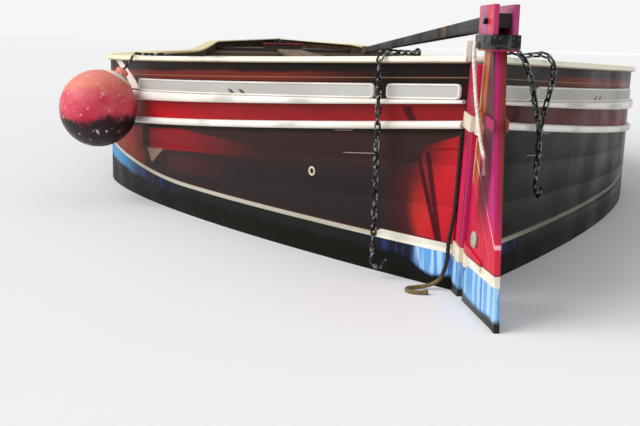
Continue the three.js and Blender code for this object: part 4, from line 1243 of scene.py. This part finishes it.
def stern_rope(material):
    """Down the sternpost's port corner, and into a hook of slack at the waterline."""
    radius = 0.005
    afloat = WATER + radius + CORD_GAP
    # Height, distance to port, and how far it stands off the corner's raked line
    hanging = [
        (0.822, 0.0303, 0), (0.780, 0.0303, 0), (0.700, 0.0303, 0), (0.640, 0.031, 0), (0.604, 0.034, 0),
        (0.574, 0.038, 0), (0.530, 0.0385, 0), (0.500, 0.042, 0.003), (0.475, 0.052, 0.007),
    ]
    lying = [
        (-6.647, 0.074, 0.460), (-6.645, 0.100, afloat), (-6.655, 0.124, afloat), (-6.676, 0.129, afloat),
        (-6.690, 0.110, afloat), (-6.692, 0.084, afloat),
    ]
    corner = APEX + 0.006
    route = [(-corner - RAKE_SLOPE * (z - WATER) + off, y, z) for z, y, off in hanging] + lying
    rope_piece("stern_rope", route, radius, material, "hull")


def rudder_rope(material):
    """From the rudder head down its port face."""
    route = [
        (-6.802, 0.0351, 1.018), (-6.805, 0.0361, 0.984), (-6.810, 0.0331, 0.940), (-6.820, 0.0305, 0.900),
        (-6.838, 0.0285, 0.860), (-6.862, 0.027, 0.820), (-6.885, 0.024, 0.785), (-6.890, 0.023, 0.755),
    ]
    rope_piece("rudder_rope", route, 0.0045, material, "rudder")


def beside_fender(distance, z):
    """A point at the fender's station, from its distance outside the planking and its height."""
    place = (STERN, FENDER["distance"], FENDER["z"])
    return (side_point(*place) + outward(*place) * distance).to_3d() + Vector((0, 0, z))


def on_fender_axis(height):
    """A point on the line from the fender's centre through its neck."""
    tilt = FENDER["tilt"]
    return beside_fender(FENDER_OUT - height * math.sin(tilt), FENDER["z"] + height * math.cos(tilt))


def fender_lanyard(material):
    """From the fender's neck up and over the rail."""
    radius = 0.005
    rail = line_height("rail_top", STERN, FENDER["distance"])
    top = FENDER["radius"] + FENDER["neck"] + CORD_GAP
    lying = rail + radius + CORD_GAP
    # Distance outside the planking, and height
    over_rail = (
        (0.038, rail - 0.022), (0.026, rail - 0.004), (0.015, rail + 0.007), (-0.002, lying + 0.0003),
        (-0.045, lying), (-0.085, lying),
    )
    route = [on_fender_axis(top), on_fender_axis(top + 0.011)]
    route += [beside_fender(*place) for place in over_rail]
    rope_piece("fender_lanyard", route, radius, material, "hull")


def port_chain(material):
    """A chain over the port rail, from an eye on the deck side down to a hook over the waterline.

    Its points are given from a point of the side: how far forward, how far to port, at what height.
    """
    distance = 0.160
    rail = line_height("rail_top", STERN, distance)
    at = side_point(STERN, distance, WATER + LINES["rail_top"][0])
    over_rail = rail + 0.0071
    foot = WATER + 0.038
    route = [(0.040, -0.056, over_rail), (0.014, -0.014, over_rail + 0.001), (0, 0.025, over_rail)]
    route += [(-0.001, 0.032, z) for z in (over_rail - 0.026, over_rail - 0.120, foot + 0.160, foot + 0.040)]
    bend = [
        (-0.001, 0.032, foot + 0.034), (-0.001, 0.032, foot + 0.022), (-0.004, 0.035, foot + 0.008),
        (-0.006, 0.018, foot - 0.010), (-0.008, 0.000, foot + 0.012),
    ]
    links = chain_links([(at.x + x, at.y + y, z) for x, y, z in route])
    hook = forged_hook([(at.x + x, at.y + y, z) for x, y, z in bend])
    eye_at = Vector((at.x + 0.046, at.y - 0.064, rail))
    collar = [eye_at + Vector((0, 0, z)) for z in (0, 0.001, 0.003)]
    eye = ring_shape(eye_at + Vector((0, 0, 0.009)), (1, 0.6, 0), 0.0075, 0.0028)
    shape = merged([links, hook, eye, tapered_rod(collar, [0.010, 0.010, 0.006])])
    piece("chain_port_links", shape, material, nodes=["chain_port"], angle=60)


BRIDLE_LEGS = (0.060, 0.192)  # distances forward of the apex


def starboard_bridle(material):
    """Two chains over the starboard rail that meet in a ring, and one on from there to a hook."""
    meeting_z = WATER + 0.363
    middle = side_point(STERN, 0.155, meeting_z)
    y = -(middle.y + 0.042)
    meeting = (middle.x, y, meeting_z)
    shapes = []
    for distance in BRIDLE_LEGS:
        rail = line_height("rail_top", STERN, distance)
        at = side_point(STERN, distance, rail)
        over_rail = rail + 0.0086
        shapes.append(chain_links([
            (at.x + 0.022, -(at.y - 0.020), over_rail), (at.x + 0.002, -(at.y + 0.019), over_rail + 0.002),
            (at.x - 0.007, -(at.y + 0.037), over_rail - 0.020), meeting,
        ]))
    swivel = WATER + 0.300
    hook = WATER + 0.210
    shapes += [
        chain_links([
            (middle.x, y, meeting_z + 0.004), (middle.x, y, swivel), (middle.x + 0.006, y, swivel - 0.040),
        ]),
        ring_shape(meeting, (1, 0, 0), 0.0065, 0.0026),
        forged_hook([
            (middle.x + 0.006, y, swivel - 0.046), (middle.x, y, hook + 0.012),
            (middle.x - 0.026, y, hook - 0.004), (middle.x - 0.044, y, hook + 0.026),
        ]),
    ]
    piece("chain_starboard_links", merged(shapes), material, nodes=["chain_starboard"], angle=60)


# Radius and height over the ball's top, up the fender's neck and round its collar
NECK = (
    (0.0235, -0.002), (0.0228, 0.008), (0.0205, 0.011), (0.0205, 0.015), (0.0220, 0.018), (0.0205, 0.025),
    (0.0110, 0.029), (0.0005, 0.030),
)
COLLAR = (
    (0.0225, -0.006), (0.0440, -0.0105), (0.0525, -0.0120), (0.0545, -0.0085), (0.0500, -0.0035),
    (0.0360, 0.0010), (0.0225, 0.0030),
)
BALL_ROWS = 36
BALL_SEAM = {"proud": 0.0015, "width": 0.05}


def ball_fender(ball_material, ring_material):
    radius = FENDER["radius"]
    center = on_fender_axis(0.0)
    axis = (on_fender_axis(1.0) - center).normalized()
    profile = [(0.0005, -radius)]
    for k in range(1, BALL_ROWS):
        angle = math.pi * (k / BALL_ROWS - 0.5)
        sunk = BALL_SEAM["proud"] * (1 - math.exp(-(math.sin(angle) / BALL_SEAM["width"]) ** 2))
        profile.append(((radius - sunk) * math.cos(angle), radius * math.sin(angle)))
    profile += [(reach, radius + height) for reach, height in NECK]
    piece("ball_fender_body", turned(profile, center, axis), ball_material, nodes=["ball_fender"],
          angle=50)
    collar = [(reach, radius + height) for reach, height in COLLAR]
    piece("ball_fender_collar", turned(collar, center, axis), ring_material, angle=50)


WEAVE = {"around": 72, "rows": 48, "turns": 9, "rise": 28, "depth": 0.010}


def bow_fender(material, iron):
    """A fender of woven rope on the stem, hung by a chain."""
    low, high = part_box("bow_fender")
    center = (low + high) / 2
    radius = (high.y - low.y) / 2
    half = (high.z - low.z) / 2 - 0.001
    rings = []
    for k in range(WEAVE["around"]):
        turn = math.tau * k / WEAVE["around"]
        around = Vector((math.cos(turn), math.sin(turn), 0))
        ring = []
        for j in range(WEAVE["rows"] + 1):
            angle = math.pi * (j / WEAVE["rows"] - 0.5)
            reach = max(0.0, math.cos(angle)) ** 0.7
            across, up = WEAVE["turns"] * turn, WEAVE["rise"] * angle / math.pi
            weave = math.sin(across + up) * math.sin(across - up)
            hollow = WEAVE["depth"] * (0.5 - 0.5 * weave) * min(1.0, reach * 2)
            out = max(0.0004, radius * reach - hollow)
            ring.append(center + around * out + Vector((0, 0, half * math.sin(angle))))
        rings.append(ring)
    shape = Shape().sweep(rings, closed=True)
    piece("bow_fender_ropework", shape, material, nodes=["bow_fender"], angle=80)

    front = APEX + 0.055 + RAKE_SLOPE * (0.875 - WATER)
    ring_top = WATER + LINES["rail_bottom"][0] + 0.003
    x = front + 0.107
    sling = chain_links([
        (front - 0.030, 0, ring_top + 0.008), (front + 0.010, 0, ring_top + 0.007), (x - 0.040, 0, 0.935),
        (x - 0.003, 0, 0.905), (x, 0, 0.887), (x, 0, 0.879),
    ])
    piece("bow_fender_chain", sling, iron, nodes=["bow_fender_sling"], angle=60)


# Small fittings that only the looks have

# Places over the waterline, forward of the apex, or along the boat
EYE_PLATE = {"x": -6.810, "height": 0.156, "face": 0.0158, "radius": 0.018, "thick": 0.0045}
SKIN_FITTING = {"distance": 0.364, "height": 0.224, "radius": 0.0100, "wire": 0.0030}


def eye_plate(material):
    """A round plate on the rudder's port face, with a domed rim round a dished middle.

    Its profile is given as radius and height.
    """
    radius, thick = EYE_PLATE["radius"], EYE_PLATE["thick"]
    profile = [
        (0.0005, 0.0010), (0.0045, 0.0010), (0.0062, 0.0032), (0.0100, thick),
        (radius - 0.003, thick - 0.001), (radius, 0.0012), (radius, -0.0015), (0.0005, -0.0015),
    ]
    center = Vector((EYE_PLATE["x"], EYE_PLATE["face"], WATER + EYE_PLATE["height"]))
    piece("rudder_eye_plate", turned(profile, center, Vector((0, 1, 0)), 32), material, "rudder")


def skin_fitting(material):
    """A ringed outlet in the port side."""
    place = (STERN, SKIN_FITTING["distance"], WATER + SKIN_FITTING["height"])
    normal = outward(*place).to_3d()
    ring = ring_shape(offset_point(*place, 0.0), normal, SKIN_FITTING["radius"], SKIN_FITTING["wire"])
    piece("skin_fitting", ring, material)


# Floor and light

FLOOR_REACH = 60.0
BACKDROP = {"radius": 58.0, "height": 12.0, "parts": 96, "glow": 0.92}
KEY = {"aim": (0.15, -0.80, -0.58), "strength": 2.2, "softness": 50}
SKY = {"color": (0.97, 0.98, 1.0, 1), "strength": 0.55}


def staged(mesh, finish):
    """Puts a mesh on the stage, outside the model."""
    mesh.materials.append(finish.material)
    in_scene(mesh.name, mesh)


def floor():
    """A pale plane at the waterline, open where the hull is, so that the hold shows."""
    port = [offset_point(end, max(distance, 0.03), WATER, -PLANK * 0.4) for end, distance in STATIONS]
    outline = [(point.x, point.y) for point in port] + [(point.x, -point.y) for point in reversed(port)]
    corners = [(x * FLOOR_REACH, y * FLOOR_REACH) for x, y in ((-1, 1), (1, 1), (1, -1), (-1, -1))]
    mesh = bpy.data.meshes.new("floor")
    with editing(mesh) as edit:
        edges = []
        for loop in (outline, corners):
            points = [edit.verts.new((x, y, WATER)) for x, y in loop]
            edges += [edit.edges.new(pair) for pair in zip(points, points[1:] + points[:1])]
        bmesh.ops.triangle_fill(edit, use_beauty=True, edges=edges)
        for face in edit.faces:
            if face.normal.z < 0:
                face.normal_flip()
    finish = Finish("floor")
    finish.done((0.93, 0.93, 0.92, 1), 0.9, shine=0.1)
    staged(mesh, finish)


def backdrop():
    """A pale glowing wall right round the stage."""
    count = BACKDROP["parts"]
    center, ahead, across = (Vector((0, 0, WATER)), Vector((1, 0, 0)), Vector((0, 1, 0)))
    ring = circle(center, ahead, across, BACKDROP["radius"], count)
    points = ring + [point + Vector((0, 0, BACKDROP["height"])) for point in ring]
    faces = [(k, (k + 1) % count, (k + 1) % count + count, k + count) for k in range(count)]
    mesh = bpy.data.meshes.new("backdrop")
    mesh.from_pydata(points, [], faces)
    finish = Finish("backdrop")
    finish.done((0, 0, 0, 1), 0.5, shine=0)
    feed(finish.shader, {"Emission Color": (1, 1, 1, 1), "Emission Strength": BACKDROP["glow"]})
    staged(mesh, finish)


def studio():
    """Soft light from everywhere, and a wide soft key from the port quarter."""
    world = bpy.data.worlds.new("studio")
    world.use_nodes = True
    feed(world.node_tree.nodes["Background"], {"Color": SKY["color"], "Strength": SKY["strength"]})
    bpy.context.scene.world = world
    bpy.context.scene.view_settings.view_transform = "Standard"
    data = bpy.data.lights.new("key", "SUN")
    data.energy = KEY["strength"]
    data.angle = math.radians(KEY["softness"])
    in_scene("key", data).rotation_euler = Vector(KEY["aim"]).to_track_quat("-Z", "Y").to_euler()


def build():
    white = edge_worn("strake_paint", strake_tone, "#8a8378", "#6f6a62", (0.15, 1, 1))
    cream = edge_worn("rail_paint", rail_tone, "#8d7a55", "#6b563c", (0.5, 1, 1))
    materials = {
        "post": post_paint(),
        "blade": rudder_paint(),
        "iron": iron_finish(),
        "pale_iron": plain_paint("cream_iron", "#e9dfcc", "#b9a583", "#5a4a3c", 0.5, WOOD_UPRIGHT),
        "deck": deck_finish(),
        "boards": deck_finish("board_paint", "#33291f", WOOD_UPRIGHT),
        "wood": bare_wood("bare_wood", "#8a6d4c", "#4f3a26"),
        "cross_wood": bare_wood("cross_wood", "#846747", "#4a3623", WOOD_ACROSS),
        "tar": deck_finish("tar", "#1b1916", WOOD_ACROSS),
        "lid": plain_paint("lid_paint", "#8a1f26", "#6b171c", "#2a1515", 0.4),
        "tiller": deck_finish("tiller_paint", "#181618"),
    }
    # Many pale specks on the chain: rubbed wear and painted highlights along the links.
    chain = iron_finish("chain_iron", 0.7)

    stern_rope(rope_finish("tarred_rope", "#3a2c24", "#191210", soaked=("#84714a", 0.015, 0.050)))
    rudder_rope(rope_finish("pale_rope", "#fff6ef", "#d8c6b6", soaked=("#8a2f45", 0.335, 0.350)))
    fender_lanyard(rope_finish("flecked_rope", "#2c2a2c", "#151416", "#d9d2c4"))
    hull_sides(topside_paint())
    rails(cream)
    strakes(white)
    panels(panel_paint(), white)
    own_shapes(materials)
    port_chain(chain)
    starboard_bridle(chain)
    ball_fender(fender_finish(), white)
    bow_fender(rope_finish("rope", "#f0e9d8", "#a89674"), materials["iron"])
    eye_plate(plain_paint("grey_iron", "#b9c2b2", "#6f7d70", "#3a3f38", 0.5, WOOD_UPRIGHT))
    skin_fitting(materials["pale_iron"])
    floor()
    backdrop()
    studio()


build()
